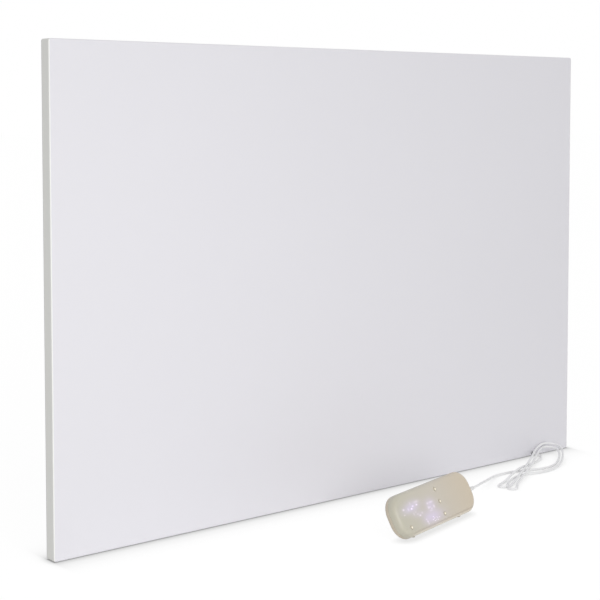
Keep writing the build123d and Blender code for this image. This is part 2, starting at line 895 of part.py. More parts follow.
with BuildPart() as board_screws:
    with BuildSketch(control_level(board_face)):
        with Locations(*board_post_places):
            Circle(board_head_radius)
    extrude(amount=board_head_height)
    with BuildSketch(control_level(board_face)):
        with Locations(*board_post_places):
            Circle(board_screw_radius)
    extrude(amount=-board_thickness - board_screw_bite)
write(board_screws, "board_screws")

module_width = 2 * digit_pitch + 4 * module_margin
with BuildPart() as display_module:
    with BuildSketch(control_level(board_face)):
        with Locations((display_x, display_y)):
            Rectangle(module_width, digit_height + 2 * module_margin)
    extrude(amount=module_height)
write(display_module, "display_module")

with BuildPart() as display_digits:
    with BuildSketch(control_level(board_face + module_height)):
        for side in (-0.5, 0.5):
            digit_x = display_x + side * digit_pitch
            for row in (-1, 0, 1):
                bar_y = display_y + row * (digit_height - segment_width) / 2
                with Locations((digit_x, bar_y)):
                    Rectangle(digit_width - 2 * segment_width - 0.6, segment_width)
            for column in (-1, 1):
                bar_x = digit_x + column * (digit_width - segment_width) / 2
                for row in (-1, 1):
                    bar_y = display_y + row * digit_height / 4
                    with Locations((bar_x, bar_y)):
                        Rectangle(segment_width, digit_height / 2 - segment_width - 0.3)
    extrude(amount=digit_lift)
write(display_digits, "display_digits")

with BuildPart() as icon_lights:
    with BuildSketch(control_level(board_face)):
        with Locations(*icon_places):
            RectangleRounded(icon_width, icon_height, 0.6)
    extrude(amount=light_rise)
write(icon_lights, "icon_lights")

with BuildPart() as light_mask:
    with BuildSketch(control_level(inner_face - mask_thickness)):
        with Locations((mask_x, display_y)):
            Rectangle(mask_width, mask_height)
        with Locations((display_x, display_y)):
            Rectangle(
                module_width - 2 * module_margin, digit_height + module_margin / 2, mode=Mode.SUBTRACT
            )
        with Locations(*icon_places):
            Rectangle(icon_window, icon_window, mode=Mode.SUBTRACT)
        with Locations((power_key_x, power_key_y)):
            Circle(key_radius + 2 * key_flange, mode=Mode.SUBTRACT)
    extrude(amount=mask_thickness)
write(light_mask, "light_mask")

dome_height = switch_height + switch_dome_height
key_rest_gap = key_travel + key_gap
key_stem_level = board_face + dome_height + key_rest_gap
with BuildPart() as tact_switches:
    with BuildSketch(control_level(board_face)):
        with Locations(*keys):
            Rectangle(switch_width, switch_width)
    extrude(amount=switch_height)
    with BuildSketch(control_level(board_face + switch_height)):
        with Locations(*keys):
            Circle(switch_dome_radius)
    extrude(amount=switch_dome_height)
write(tact_switches, "tact_switches")

flange_top = inner_face - key_gap
for name, key_place in zip((*key_names, "key_power"), keys):
    with BuildPart() as key_cap:
        with BuildSketch(control_level(key_stem_level)):
            with Locations(key_place):
                Circle(key_stem_radius)
        extrude(amount=flange_top - key_stem_level)
        with BuildSketch(control_level(flange_top - key_flange_thickness)):
            with Locations(key_place):
                Circle(key_radius + key_flange)
        extrude(amount=key_flange_thickness)
        with BuildSketch(control_level(flange_top)):
            with Locations(key_place):
                Circle(key_radius)
        extrude(amount=face_level + key_proud - flange_top)
        fillet(key_cap.faces().sort_by(out_axis)[-1].edges(), 0.8)
    write(key_cap, name)

with BuildPart() as microcontroller:
    with BuildSketch(control_level(board_face)):
        with Locations(chip_place):
            Rectangle(chip_width, chip_width)
    extrude(amount=chip_height)
write(microcontroller, "microcontroller")

with BuildPart() as buzzer:
    with BuildSketch(control_level(board_face)):
        with Locations(buzzer_place):
            Circle(buzzer_radius)
            Circle(buzzer_hole_radius, mode=Mode.SUBTRACT)
    extrude(amount=buzzer_height)
write(buzzer, "buzzer")

with BuildPart() as wire_connector:
    with BuildSketch(control_level(board_face)):
        with Locations(connector_place):
            Rectangle(connector_width, connector_length)
    extrude(amount=connector_height)
    with BuildSketch(control_level(board_face + connector_height)):
        with Locations(connector_place):
            with GridLocations(1, connector_pitch, 1, 4):
                Circle(connector_hole_radius)
    extrude(amount=-connector_hole_depth, mode=Mode.SUBTRACT)
write(wire_connector, "wire_connector")

with BuildPart() as room_sensor:
    with BuildSketch(control_level(board_face)):
        with Locations(room_sensor_place):
            RectangleRounded(room_sensor_width, room_sensor_length, 1)
    extrude(amount=room_sensor_height)
write(room_sensor, "room_sensor")

# ---- Stand: its leg swings on the pin until the pad meets the floor ----

leg_reach = math.hypot(stand_length, stand_thickness / 2)
leg_from_vertical = math.acos((hinge_point.Z - pad_lift) / leg_reach)
leg_from_vertical += math.atan(stand_thickness / 2 / stand_length)
leg_down = rearward * math.sin(leg_from_vertical) - Vector(0, 0, math.cos(leg_from_vertical))
folded_turn = 90 - control_tilt + math.degrees(leg_from_vertical)
leg_plane = Plane(origin=hinge_point, x_dir=along, z_dir=along.cross(leg_down))
print("stand folds by", round(folded_turn, 3), "degrees, hinge at", hinge_point)

with BuildPart() as stand_leg:
    with BuildSketch(leg_plane.offset(-stand_thickness / 2)):
        with Locations((0, (stand_length - pad_length + stand_barrel_radius / 2) / 2)):
            Rectangle(stand_width, stand_length - pad_length - stand_barrel_radius / 2)
    extrude(amount=stand_thickness)
    with BuildSketch(Plane(origin=hinge_point - along * (stand_width / 2),
                           x_dir=face_up, z_dir=along)):
        Circle(stand_barrel_radius)
    extrude(amount=stand_width)
    with BuildSketch(Plane(origin=hinge_point - along * (stand_width / 2),
                           x_dir=face_up, z_dir=along)):
        Circle(stand_pin_radius + stand_pin_clearance)
    extrude(amount=stand_width, mode=Mode.SUBTRACT)
write(stand_leg, "stand_leg")

with BuildPart() as stand_pin:
    with BuildSketch(pin_plane):
        Circle(stand_pin_radius)
    extrude(amount=stand_pin_length)
write(stand_pin, "stand_pin")

with BuildPart() as stand_pad:
    with BuildSketch(leg_plane.offset(-stand_thickness / 2)):
        with Locations((0, stand_length - pad_length / 2)):
            Rectangle(stand_width - 2 * pad_inset, pad_length)
    extrude(amount=stand_thickness)
write(stand_pad, "stand_pad")

with BuildPart() as edge_feet:
    with BuildSketch():
        with Locations(*foot_spots):
            Circle(foot_radius)
    extrude(amount=foot_height + foot_socket)
write(edge_feet, "edge_feet")

# ---- Strain relief boot ----

with BuildPart() as boot:
    with BuildSketch(end_plane.offset(-boot_root)):
        Circle(boot_radius)
    extrude(amount=boot_root + boot_collar)
    with BuildSketch(end_plane.offset(boot_collar)):
        Circle(boot_radius)
    with BuildSketch(end_plane.offset(boot_length)):
        Circle(boot_tip_radius)
    loft()
write(boot, "strain_relief_boot")

# ---- Cord: its route is chosen by hand, and each piece is a tube of straight runs and arcs ----

cord_radius = cord_diameter / 2
low = cord_radius
cord_exit = boot_spot + along * boot_length
exit_run = 8
after_exit = cord_exit + along * exit_run

# From the cord's hole in the panel, the hank's corners: x, then y and z as they are.
hank_corners = (
    (-104.6, -60.3, low),
    (-77, -70.9, low),
    (-50.1, -78.5, low),
    (-21.9, -73.2, low),
    (4.3, -57.5, 4),
    (25.6, -39.9, 7),
    (35.4, -22.1, 9),
    (26.2, -11.3, 10.5),
    (7.5, -16.5, 9.4),
    (-46.6, -52.4, 6.8),
    (-91.5, -80.9, 6.4),
    (-125.7, -100.2, 4.2),
    (-145.2, -109.7, 2.2),
    (-165.1, -126.1, low),
    (-169.3, -128.5, low),
    (-173.9, -127.1, low),
    (-176.2, -122.9, low),
    (-174.8, -118.3, low),
    (-170.4, -116.2, low),
    (-149.5, -106.2, 2.2),
    (-126.8, -94.3, 4.9),
    (-89.8, -73.1, 6.8),
    (-45.7, -45.8, 8.4),
    (1.7, -15.5, 13.1),
    (19.3, -11.3, 15.8),
    (42.6, -13, 14),
    (35.6, -36.7, 11),
    (11.1, -59.4, 6),
    (-16.6, -78.1, 2.6),
    (-48.7, -89.6, low),
    (-76.4, -89.3, low),
    (-98.9, -82.8, low),
    (-121.8, -84.5, low),
    (-149.1, -96.5, low),
    (-166.7, -109.7, low),
    (-170.7, -112.5, low),
    (-175.4, -111.4, low),
    (-178, -107.3, low),
    (-176.9, -102.7, low),
    (-172.6, -100.2, low),
    (-149.8, -91.6, low),
    (-133.2, -84.6, 4.6),
    (-112, -75.6, 6.6),
    (-80, -60, 5),
    (-55, -52, 2.2),
)
hank_points = [Vector(grommet_x + x, y, z) for x, y, z in hank_corners]

# From the hand control to the hank: the share of that way in x, then y and z.
approach_corners = (
    (0.22, -119.9, 17),
    (0.44, -95.9, 10),
    (0.65, -74, 4.3),
    (0.81, -60.5, low),
)
way = hank_points[0].X - after_exit.X
approach_points = [cord_exit, after_exit]
approach_points += [Vector(after_exit.X + share * way, y, z) for share, y, z in approach_corners]

# From the hank into the panel, straight across the floor at the end.
departure_corners = (
    (-30, -43, low),
    (-11, -36, low),
    (0, -25, grommet_z),
)
departure_points = [Vector(grommet_x + x, y, z) for x, y, z in departure_corners]
departure_points.append(Vector(grommet_x, front_y - grommet_nose, grommet_z))
route = approach_points + hank_points + departure_points
hank_start = len(approach_points)
hank_end = hank_start + len(hank_points) - 1


def corner_radii(points):
    radii = []
    for before, corner, after in zip(points, points[1:], points[2:]):
        run_in = corner - before
        run_out = after - corner
        turn = math.radians(run_in.get_angle(run_out))
        shorter = min(run_in.length, run_out.length)
        radii.append(0.45 * shorter / math.tan(turn / 2))
    return radii


def tube(points, radii, name):
    with BuildPart() as cord:
        with BuildLine() as path:
            FilletPolyline(*points, radius=radii)
        with BuildSketch(Plane(origin=path.wire() @ 0, z_dir=path.wire() % 0)):
            Circle(cord_radius)
        sweep(path=path.wire())
    write(cord, name)
    expected = math.pi * cord_radius**2 * path.wire().length
    print(name, "length", round(path.wire().length, 1), "volume over section times length",
          round(cord.part.volume / expected, 4))
    return path.wire()


def halfway(index):
    return (route[index] + route[index + 1]) * 0.5


radii = corner_radii(route)
print("cord radii", [round(radius, 1) for radius in radii])
first_cut = halfway(hank_start - 1)
last_cut = halfway(hank_end)
approach = tube(
    [*route[:hank_start], first_cut], radii[: hank_start - 1], "cord_to_control"
)
hank = tube(
    [first_cut, *route[hank_start : hank_end + 1], last_cut],
    radii[hank_start - 1 : hank_end],
    "cord_hank",
)
departure = tube([last_cut, *route[hank_end + 1 :]], radii[hank_end:], "cord_to_panel")
cord_length = approach.length + hank.length + departure.length
print("whole cord", round(cord_length, 1))


def least_gap(wires, step, apart):
    # The least distance between the tube's own walls, on points a step apart along it.
    points = []
    for wire in wires:
        count = int(wire.length / step)
        points.extend(wire.positions([n / count for n in range(count)]))
    skip = int(apart / step)
    least = min(
        (points[i] - points[j]).length
        for i in range(len(points))
        for j in range(i + skip, len(points))
    )
    return least - cord_diameter


gap_step = 1.5
gap_skip = 18
hank_gap = least_gap([hank], gap_step, gap_skip)
cord_gap = least_gap([approach, hank, departure], gap_step, gap_skip)
print("least gap of the hank to itself", round(hank_gap, 2), "and of the cord", round(cord_gap, 2))

# ---- The cord's way into the panel ----

with BuildPart() as grommet:
    with BuildSketch(depth_plane(front_y + sheet)):
        with Locations((grommet_x, grommet_z)):
            Circle(grommet_neck_radius)
    extrude(amount=sheet)
    with BuildSketch(depth_plane(front_y)):
        with Locations((grommet_x, grommet_z)):
            Circle(grommet_flare_radius)
    extrude(amount=grommet_nose)
    fillet(grommet.edges().group_by(Axis.Y)[0], 0.8)
write(grommet, "signal_grommet")

inner_bend = 5
with BuildPart() as inner_signal:
    with BuildLine() as inner_path:
        FilletPolyline(
            (grommet_x, front_y + sheet, grommet_z),
            (grommet_x, signal_up_y, grommet_z),
            (grommet_x, signal_up_y, signal_exit_z),
            (grommet_x, box_floor_y + relay_board_rise, signal_exit_z),
            radius=inner_bend,
        )
    with BuildSketch(Plane(origin=inner_path.wire() @ 0, z_dir=inner_path.wire() % 0)):
        Circle(cord_radius)
    sweep(path=inner_path.wire())
write(inner_signal, "inner_signal_cable")
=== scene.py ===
import math

import bpy
from mathutils import Matrix, Vector


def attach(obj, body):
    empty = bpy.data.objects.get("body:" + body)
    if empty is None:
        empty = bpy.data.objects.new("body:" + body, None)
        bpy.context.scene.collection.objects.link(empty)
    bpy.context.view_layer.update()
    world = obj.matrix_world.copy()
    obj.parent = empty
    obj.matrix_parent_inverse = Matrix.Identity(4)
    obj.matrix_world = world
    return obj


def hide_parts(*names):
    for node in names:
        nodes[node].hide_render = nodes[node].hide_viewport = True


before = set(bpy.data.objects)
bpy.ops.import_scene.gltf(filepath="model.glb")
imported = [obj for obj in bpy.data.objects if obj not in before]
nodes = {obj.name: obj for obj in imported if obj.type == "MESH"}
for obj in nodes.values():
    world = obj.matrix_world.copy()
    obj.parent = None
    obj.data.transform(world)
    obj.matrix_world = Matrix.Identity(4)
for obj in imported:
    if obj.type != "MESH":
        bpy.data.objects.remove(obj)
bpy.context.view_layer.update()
print("loaded", len(nodes), "CAD nodes")

# The frame is in metres. Settings are in millimetres and degrees, apart from those noted in metres.
mm = 0.001

# The camera stands left of the panel, and looks at it slightly from above. Its place is in metres.
cameraSet = {"location": (-1.2614, -1.4398, 0.5144), "pitch": 3.5, "yaw": 39.432, "lens": 86.13,
             "sensor": 36, "shiftY": -0.1633}
cameraData = bpy.data.cameras.new("camera")
cameraData.lens = cameraSet["lens"]
cameraData.sensor_width = cameraSet["sensor"]
cameraData.shift_y = cameraSet["shiftY"]
camera = bpy.data.objects.new("camera", cameraData)
camera.location = cameraSet["location"]
camera.rotation_euler = (
    math.radians(90 - cameraSet["pitch"]), 0, math.radians(-cameraSet["yaw"])
)
bpy.context.scene.collection.objects.link(camera)
bpy.context.scene.camera = camera

# The hand control's own axes: along its length, up its face and out of its face.
controlSet = {"x": -9.9, "y": -176.5, "tilt": 62, "yaw": 14.5, "length": 178, "face": 54,
              "depth": 18, "corner": 22, "backRound": 5, "footHeight": 0.6, "seam": -2}
tilt = math.radians(controlSet["tilt"])
yaw = math.radians(controlSet["yaw"])
along = Vector((math.cos(yaw), math.sin(yaw), 0))
rearward = Vector((-math.sin(yaw), math.cos(yaw), 0))
faceUp = rearward * math.cos(tilt) + Vector((0, 0, math.sin(tilt)))
faceOut = along.cross(faceUp)
lowReach = (controlSet["face"] / 2 - controlSet["backRound"]) * math.sin(tilt)
lowReach += (controlSet["depth"] / 2 - controlSet["backRound"]) * math.cos(tilt)
lowReach += controlSet["backRound"]
controlOrigin = Vector((controlSet["x"], controlSet["y"], lowReach + controlSet["footHeight"]))
controlFrame = Matrix((along, faceUp, faceOut)).transposed().to_4x4()
controlFrame.translation = controlOrigin * mm

# What the modelling steps share: edges softer than this angle are smooth, a face looks along an
# axis from this share of its normal, and corners nearer than this are one.
shapeSet = {"smooth": 35, "facing": 0.9, "join": 0.002}


def clearSelection():
    if bpy.context.mode != "OBJECT":
        bpy.ops.object.mode_set(mode="OBJECT")
    bpy.ops.object.select_all(action="DESELECT")


def pick(piece):
    clearSelection()
    piece.select_set(True)
    bpy.context.view_layer.objects.active = piece


def settle(piece):
    # Puts the piece's place into its mesh, so that its object sits at the origin.
    pick(piece)
    bpy.ops.object.transform_apply(location=True, rotation=True, scale=True)


def smoothShade(angle=shapeSet["smooth"]):
    bpy.ops.object.shade_smooth_by_angle(angle=math.radians(angle))


def selectFaces(piece, test):
    # Leaves edit mode's selection on the faces whose centre and normal pass the test.
    bpy.ops.object.mode_set(mode="EDIT")
    bpy.ops.mesh.select_mode(type="FACE")
    bpy.ops.mesh.select_all(action="DESELECT")
    bpy.ops.object.mode_set(mode="OBJECT")
    for face in piece.data.polygons:
        face.select = test(face.center, face.normal)
    bpy.ops.object.mode_set(mode="EDIT")


def applyAll(piece):
    pick(piece)
    for modifier in list(piece.modifiers):
        bpy.ops.object.modifier_apply(modifier=modifier.name)


def addBox(width, depth, height, level, turn=0):
    # A box of that size, turned about Z, with its middle at a level above the origin.
    clearSelection()
    bpy.ops.mesh.primitive_cube_add(size=mm, location=(0, 0, level * mm))
    piece = bpy.context.object
    piece.scale = (width, depth, height)
    piece.rotation_euler = (0, 0, math.radians(turn))
    settle(piece)
    return piece


def lathe(name, profile, steps=32, smooth=shapeSet["smooth"]):
    # Turns a profile of (radius, height) about the Z axis.
    mesh = bpy.data.meshes.new(name)
    points = [(radius * mm, 0, height * mm) for radius, height in profile]
    mesh.from_pydata(points, [(n, n + 1) for n in range(len(points) - 1)], [])
    piece = bpy.data.objects.new(name, mesh)
    bpy.context.scene.collection.objects.link(piece)
    pick(piece)
    bpy.ops.object.mode_set(mode="EDIT")
    bpy.ops.mesh.select_all(action="SELECT")
    bpy.ops.mesh.spin(steps=steps, angle=2 * math.pi, center=(0, 0, 0), axis=(0, 0, 1))
    bpy.ops.mesh.select_all(action="SELECT")
    bpy.ops.mesh.remove_doubles(threshold=shapeSet["join"] * mm)
    bpy.ops.mesh.normals_make_consistent(inside=False)
    bpy.ops.object.mode_set(mode="OBJECT")
    smoothShade(smooth)
    return piece


def cutWith(piece, cutter):
    opening = piece.modifiers.new("opening", "BOOLEAN")
    opening.operation = "DIFFERENCE"
    opening.solver = "EXACT"
    opening.object = cutter
    applyAll(piece)
    bpy.data.objects.remove(cutter)


def copiesAt(piece, name, places):
    # Copies the piece, each with its own mesh, moves them to their places and joins them.
    copies = []
    for place in places:
        twin = piece.copy()
        twin.data = piece.data.copy()
        twin.data.transform(place)
        bpy.context.scene.collection.objects.link(twin)
        copies.append(twin)
    bpy.data.objects.remove(piece)
    pick(copies[0])
    for twin in copies:
        twin.select_set(True)
    bpy.ops.object.join()
    copies[0].name = name
    return copies[0]


def shift(x, y, z):
    return Matrix.Translation((x * mm, y * mm, z * mm))


def dress(piece, body, slot, material, *replaced):
    piece.data.materials.clear()
    piece.data.materials.append(material)
    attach(piece, body)
    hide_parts(*replaced)


def grey(level):
    return (level,) * 3 + (1,)


def feed(tree, value, socket):
    # Links a socket to another one, or gives it a fixed value.
    if isinstance(value, bpy.types.NodeSocket):
        tree.links.new(value, socket)
    else:
        socket.default_value = value


def mathNode(tree, operation, *values):
    node = tree.nodes.new("ShaderNodeMath")
    node.operation = operation
    for socket, value in zip(node.inputs, values):
        feed(tree, value, socket)
    return node.outputs[0]


def vectorNode(tree, operation, first, second):
    node = tree.nodes.new("ShaderNodeVectorMath")
    node.operation = operation
    feed(tree, first, node.inputs[0])
    feed(tree, second, node.inputs["Scale"] if operation == "SCALE" else node.inputs[1])
    return node.outputs["Value" if operation == "DOT_PRODUCT" else "Vector"]


def splitAxes(tree, vector):
    apart = tree.nodes.new("ShaderNodeSeparateXYZ")
    tree.links.new(vector, apart.inputs[0])
    return apart.outputs


def beyond(tree, axis, half):
    # How far a place lies past half a width, on either side of the middle, and 0 within it.
    past = mathNode(tree, "SUBTRACT", mathNode(tree, "ABSOLUTE", axis), half)
    return mathNode(tree, "MAXIMUM", past, 0)


def between(tree, value, start, end):
    # 0 at the start, 1 at the end, and held at those outside.
    share = mathNode(tree, "DIVIDE", mathNode(tree, "SUBTRACT", value, start), end - start)
    return mathNode(tree, "MAXIMUM", mathNode(tree, "MINIMUM", share, 1), 0)


def ramp(tree, amount, stops):
    # A colour ramp through stops of position and colour.
    node = tree.nodes.new("ShaderNodeValToRGB")
    elements = node.color_ramp.elements
    for element, (position, color) in zip(elements, (stops[0], stops[-1])):
        element.position = position
        element.color = color
    for position, color in stops[1:-1]:
        elements.new(position).color = color
    tree.links.new(amount, node.inputs["Fac"])
    return node.outputs["Color"]


def mixed(tree, amount, color, target):
    # Moves a colour towards a fixed one by an amount from 0 to 1.
    mix = tree.nodes.new("ShaderNodeMix")
    mix.data_type = "RGBA"
    mix.inputs["B"].default_value = target + (1,)
    tree.links.new(amount, mix.inputs["Factor"])
    tree.links.new(color, mix.inputs["A"])
    return mix.outputs["Result"]


# The cord: its diameter and length are in metres, and low is its axis where it lies on the floor.
cordSet = {"diameter": 0.0032, "length": 1.33, "bootRise": -1.5, "bootLength": 20, "exitRun": 8,
           "grommetX": 370, "grommetZ": 3.4, "grommetNose": 2.6, "panelFront": -8.5, "low": 1.6,
           "pathSteps": 12, "roundSteps": 5}
low = cordSet["low"]
bootSpot = controlOrigin + along * (controlSet["length"] / 2)
bootSpot += faceOut * controlSet["seam"] + faceUp * cordSet["bootRise"]
cordExit = bootSpot + along * cordSet["bootLength"]
cordRoute = [
    tuple(cordExit),
    tuple(cordExit + along * cordSet["exitRun"]),
    (138.8, -119.9, 17),
    (174.5, -95.9, 10),
    (208.6, -74, 4.3),
    (234.6, -60.5, low),
    (265.4, -60.3, low),
    (293, -70.9, low),
    (319.9, -78.5, low),
    (348.1, -73.2, low),
    (374.3, -57.5, 4),
    (395.6, -39.9, 7),
    (406.2, -23.3, 9),
    (395.4, -10.1, 10.5),
    (377.5, -16.5, 9.4),
    (323.4, -52.4, 6.8),
    (278.5, -80.9, 6.4),
    (244.3, -100.2, 4.2),
    (224.8, -109.7, 2.2),
    (204.9, -126.1, low),
    (200.7, -128.5, low),
    (196.1, -127.1, low),
    (193.8, -122.9, low),
    (195.2, -118.3, low),
    (199.6, -116.2, low),
    (220.5, -106.2, 2.2),
    (243.2, -94.3, 4.9),
    (280.2, -73.1, 6.8),
    (324.3, -45.8, 8.4),
    (371.7, -15.5, 13.1),
    (389.3, -11.3, 15.8),
    (403.7, -12.3, 14.7),
    (410.1, -21.6, 12.9),
    (405.6, -36.7, 11),
    (381.1, -59.4, 6),
    (353.4, -78.1, 2.6),
    (321.3, -89.6, low),
    (293.6, -89.3, low),
    (271.1, -82.8, low),
    (248.2, -84.5, low),
    (220.9, -96.5, low),
    (203.3, -109.7, low),
    (199.3, -112.5, low),
    (194.6, -111.4, low),
    (192, -107.3, low),
    (193.1, -102.7, low),
    (197.4, -100.2, low),
    (220.2, -91.6, low),
    (236.8, -84.6, 4.6),
    (258, -75.6, 6.6),
    (290, -60, 5),
    (315, -52, 2.2),
    (340, -43, low),
    (359, -36, low),
    (cordSet["grommetX"], -25, cordSet["grommetZ"]),
    (cordSet["grommetX"], cordSet["panelFront"] - cordSet["grommetNose"], cordSet["grommetZ"]),
]
cordCurve = bpy.data.curves.new("signalCord", "CURVE")
cordCurve.dimensions = "3D"
cordCurve.resolution_u = cordSet["pathSteps"]
# Each point carries the cord's own radius, because the curve's box grows by its points' radii.
cordCurve.bevel_depth = 1
cordCurve.bevel_resolution = cordSet["roundSteps"]
cordCurve.use_fill_caps = True
cordSpline = cordCurve.splines.new("NURBS")
cordSpline.points.add(len(cordRoute) - 1)
for point, place in zip(cordSpline.points, cordRoute):
    point.co = (place[0] * mm, place[1] * mm, place[2] * mm, 1)
    point.radius = cordSet["diameter"] / 2
cordSpline.order_u = 3
cordSpline.use_endpoint_u = True
signalCord = bpy.data.objects.new("signalCord", cordCurve)
bpy.context.scene.collection.objects.link(signalCord)
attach(signalCord, "panel")
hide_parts("cord_to_control", "cord_hank", "cord_to_panel")
print("cord laid")

# The floor and the lights, with places and lengths in metres.
stageSet = {"floorHalf": 30, "floorLevel": -0.0002, "floorGrey": 0.95, "seenDiffuse": 0.11,
            "seenGlow": 0.93, "world": 0.50, "seenWorld": 1, "contactReach": 0.012,
            "contactShade": 0.80, "contactFrom": 0.35, "contactTo": 0.98, "contactSamples": 16,
            "panelHalf": 0.45, "panelFace": 0.0085, "endFade": 4,
            "shadeDepth": 0.34, "shadeLength": 0.0155, "lineDepth": 0.30, "lineLength": 0.0014,
            "keyStrength": 0.63, "keyAngle": 55, "keyFrom": (-0.25, -0.80, 0.55),
            "fillSize": 0.7, "fillPower": 4.3, "fillAt": (-0.70, -1.30, 0.25), "fillTilt": 90}


def showApart(tree, target, hidden, shown):
    # One shader lights the object, and the other is what the camera, gloss and glass see.
    path = tree.nodes.new("ShaderNodeLightPath").outputs
    direct = mathNode(tree, "MAXIMUM", path["Is Camera Ray"], path["Is Glossy Ray"])
    direct = mathNode(tree, "MAXIMUM", direct, path["Is Transmission Ray"])
    choose = tree.nodes.new("ShaderNodeMixShader")
    tree.links.new(direct, choose.inputs["Fac"])
    tree.links.new(hidden.outputs[0], choose.inputs[1])
    tree.links.new(shown.outputs[0], choose.inputs[2])
    tree.links.new(choose.outputs[0], target.inputs["Surface"])


clearSelection()
bpy.ops.mesh.primitive_plane_add(size=2 * stageSet["floorHalf"], location=(0, 0, stageSet["floorLevel"]))
floor = bpy.context.object
floor.name = "floor"
settle(floor)
floorMaterial = bpy.data.materials.new("paleFloor")
floorMaterial.use_nodes = True
tree = floorMaterial.node_tree
tree.nodes.clear()
bounce = tree.nodes.new("ShaderNodeBsdfDiffuse")
bounce.inputs["Color"].default_value = grey(stageSet["floorGrey"])
seen = tree.nodes.new("ShaderNodeBsdfDiffuse")
seen.inputs["Color"].default_value = grey(stageSet["seenDiffuse"])
glow = tree.nodes.new("ShaderNodeEmission")
glow.inputs["Strength"].default_value = stageSet["seenGlow"]
# A painted contact shadow, taken from ambient occlusion, makes the floor a little darker under whatever
# stands on it.
closeness = tree.nodes.new("ShaderNodeAmbientOcclusion")
closeness.samples = stageSet["contactSamples"]
closeness.inputs["Distance"].default_value = stageSet["contactReach"]
contact = ramp(tree, closeness.outputs["AO"], [
    (stageSet["contactFrom"], grey(stageSet["contactShade"])), (stageSet["contactTo"], grey(1)),
])
# A painted shadow darkens it along the panel's foot too, in a soft band and a thin line that fade away from
# it.
floorAxes = splitAxes(tree, tree.nodes.new("ShaderNodeTexCoord").outputs["Object"])
ahead = beyond(tree, floorAxes["Y"], stageSet["panelFace"])
beside = mathNode(tree, "MULTIPLY", beyond(tree, floorAxes["X"], stageSet["panelHalf"]), stageSet["endFade"])
distance = mathNode(tree, "ADD", ahead, beside)
light = 1
for shadow in ("shade", "line"):
    fade = mathNode(tree, "MULTIPLY", distance, -1 / stageSet[shadow + "Length"])
    fade = mathNode(tree, "EXPONENT", fade)
    light = mathNode(tree, "MULTIPLY_ADD", fade, -stageSet[shadow + "Depth"], light)
tree.links.new(vectorNode(tree, "SCALE", contact, light), glow.inputs["Color"])
both = tree.nodes.new("ShaderNodeAddShader")
tree.links.new(seen.outputs[0], both.inputs[0])
tree.links.new(glow.outputs[0], both.inputs[1])
showApart(tree, tree.nodes.new("ShaderNodeOutputMaterial"), bounce, both)
floor.data.materials.append(floorMaterial)

world = bpy.data.worlds.new("studio")
bpy.context.scene.world = world
world.use_nodes = True
tree = world.node_tree
tree.nodes.clear()
backs = []
for strength in (stageSet["world"], stageSet["seenWorld"]):
    back = tree.nodes.new("ShaderNodeBackground")
    back.inputs["Color"].default_value = grey(1)
    back.inputs["Strength"].default_value = strength
    backs.append(back)
showApart(tree, tree.nodes.new("ShaderNodeOutputWorld"), *backs)

keyData = bpy.data.lights.new("keyLight", "SUN")
keyData.energy = stageSet["keyStrength"]
keyData.angle = math.radians(stageSet["keyAngle"])
keyLight = bpy.data.objects.new("keyLight", keyData)
keyLight.rotation_mode = "QUATERNION"
keyLight.rotation_quaternion = Vector(stageSet["keyFrom"]).to_track_quat("Z", "Y")
bpy.context.scene.collection.objects.link(keyLight)
fillData = bpy.data.lights.new("fillLight", "AREA")
fillData.shape = "DISK"
fillData.size = stageSet["fillSize"]
fillData.energy = stageSet["fillPower"]
fillLight = bpy.data.objects.new("fillLight", fillData)
fillLight.location = stageSet["fillAt"]
fillLight.rotation_euler = (math.radians(stageSet["fillTilt"]), 0, 0)
bpy.context.scene.collection.objects.link(fillLight)
bpy.context.scene.view_settings.view_transform = "Standard"
print("floor and lights ready")


def newGroup(name, inputs, outputs):
    group = bpy.data.node_groups.new(name, "ShaderNodeTree")
    for label, kind, value in inputs:
        socket = group.interface.new_socket(name=label, in_out="INPUT", socket_type=kind)
        if value is not None:
            socket.default_value = value
    for label, kind in outputs:
        group.interface.new_socket(name=label, in_out="OUTPUT", socket_type=kind)
    start = group.nodes.new("NodeGroupInput")
    end = group.nodes.new("NodeGroupOutput")
    return group, start, end


# Fine speckled coat: a height for paint or moulded plastic, and a slow change of shade.
coatSet = {"grainSize": 400.0, "grainDetail": 3, "cloudSize": 3.0, "cloudDetail": 2}
coatGroup, coatIn, coatOut = newGroup(
    "coatGrain",
    [("Vector", "NodeSocketVector", None), ("Grain Size", "NodeSocketFloat", coatSet["grainSize"]),
     ("Cloud Size", "NodeSocketFloat", coatSet["cloudSize"])],
    [("Height", "NodeSocketFloat"), ("Cloud", "NodeSocketFloat"), ("Speck", "NodeSocketFloat")],
)
grain = coatGroup.nodes.new("ShaderNodeTexNoise")
grain.inputs["Detail"].default_value = coatSet["grainDetail"]
cloud = coatGroup.nodes.new("ShaderNodeTexNoise")
cloud.inputs["Detail"].default_value = coatSet["cloudDetail"]
speck = coatGroup.nodes.new("ShaderNodeTexVoronoi")
for texture, size, source, result in ((grain, "Grain Size", "Fac", "Height"),
                                      (cloud, "Cloud Size", "Fac", "Cloud"),
                                      (speck, "Grain Size", "Distance", "Speck")):
    coatGroup.links.new(coatIn.outputs["Vector"], texture.inputs["Vector"])
    coatGroup.links.new(coatIn.outputs[size], texture.inputs["Scale"])
    coatGroup.links.new(texture.outputs[source], coatOut.inputs[result])
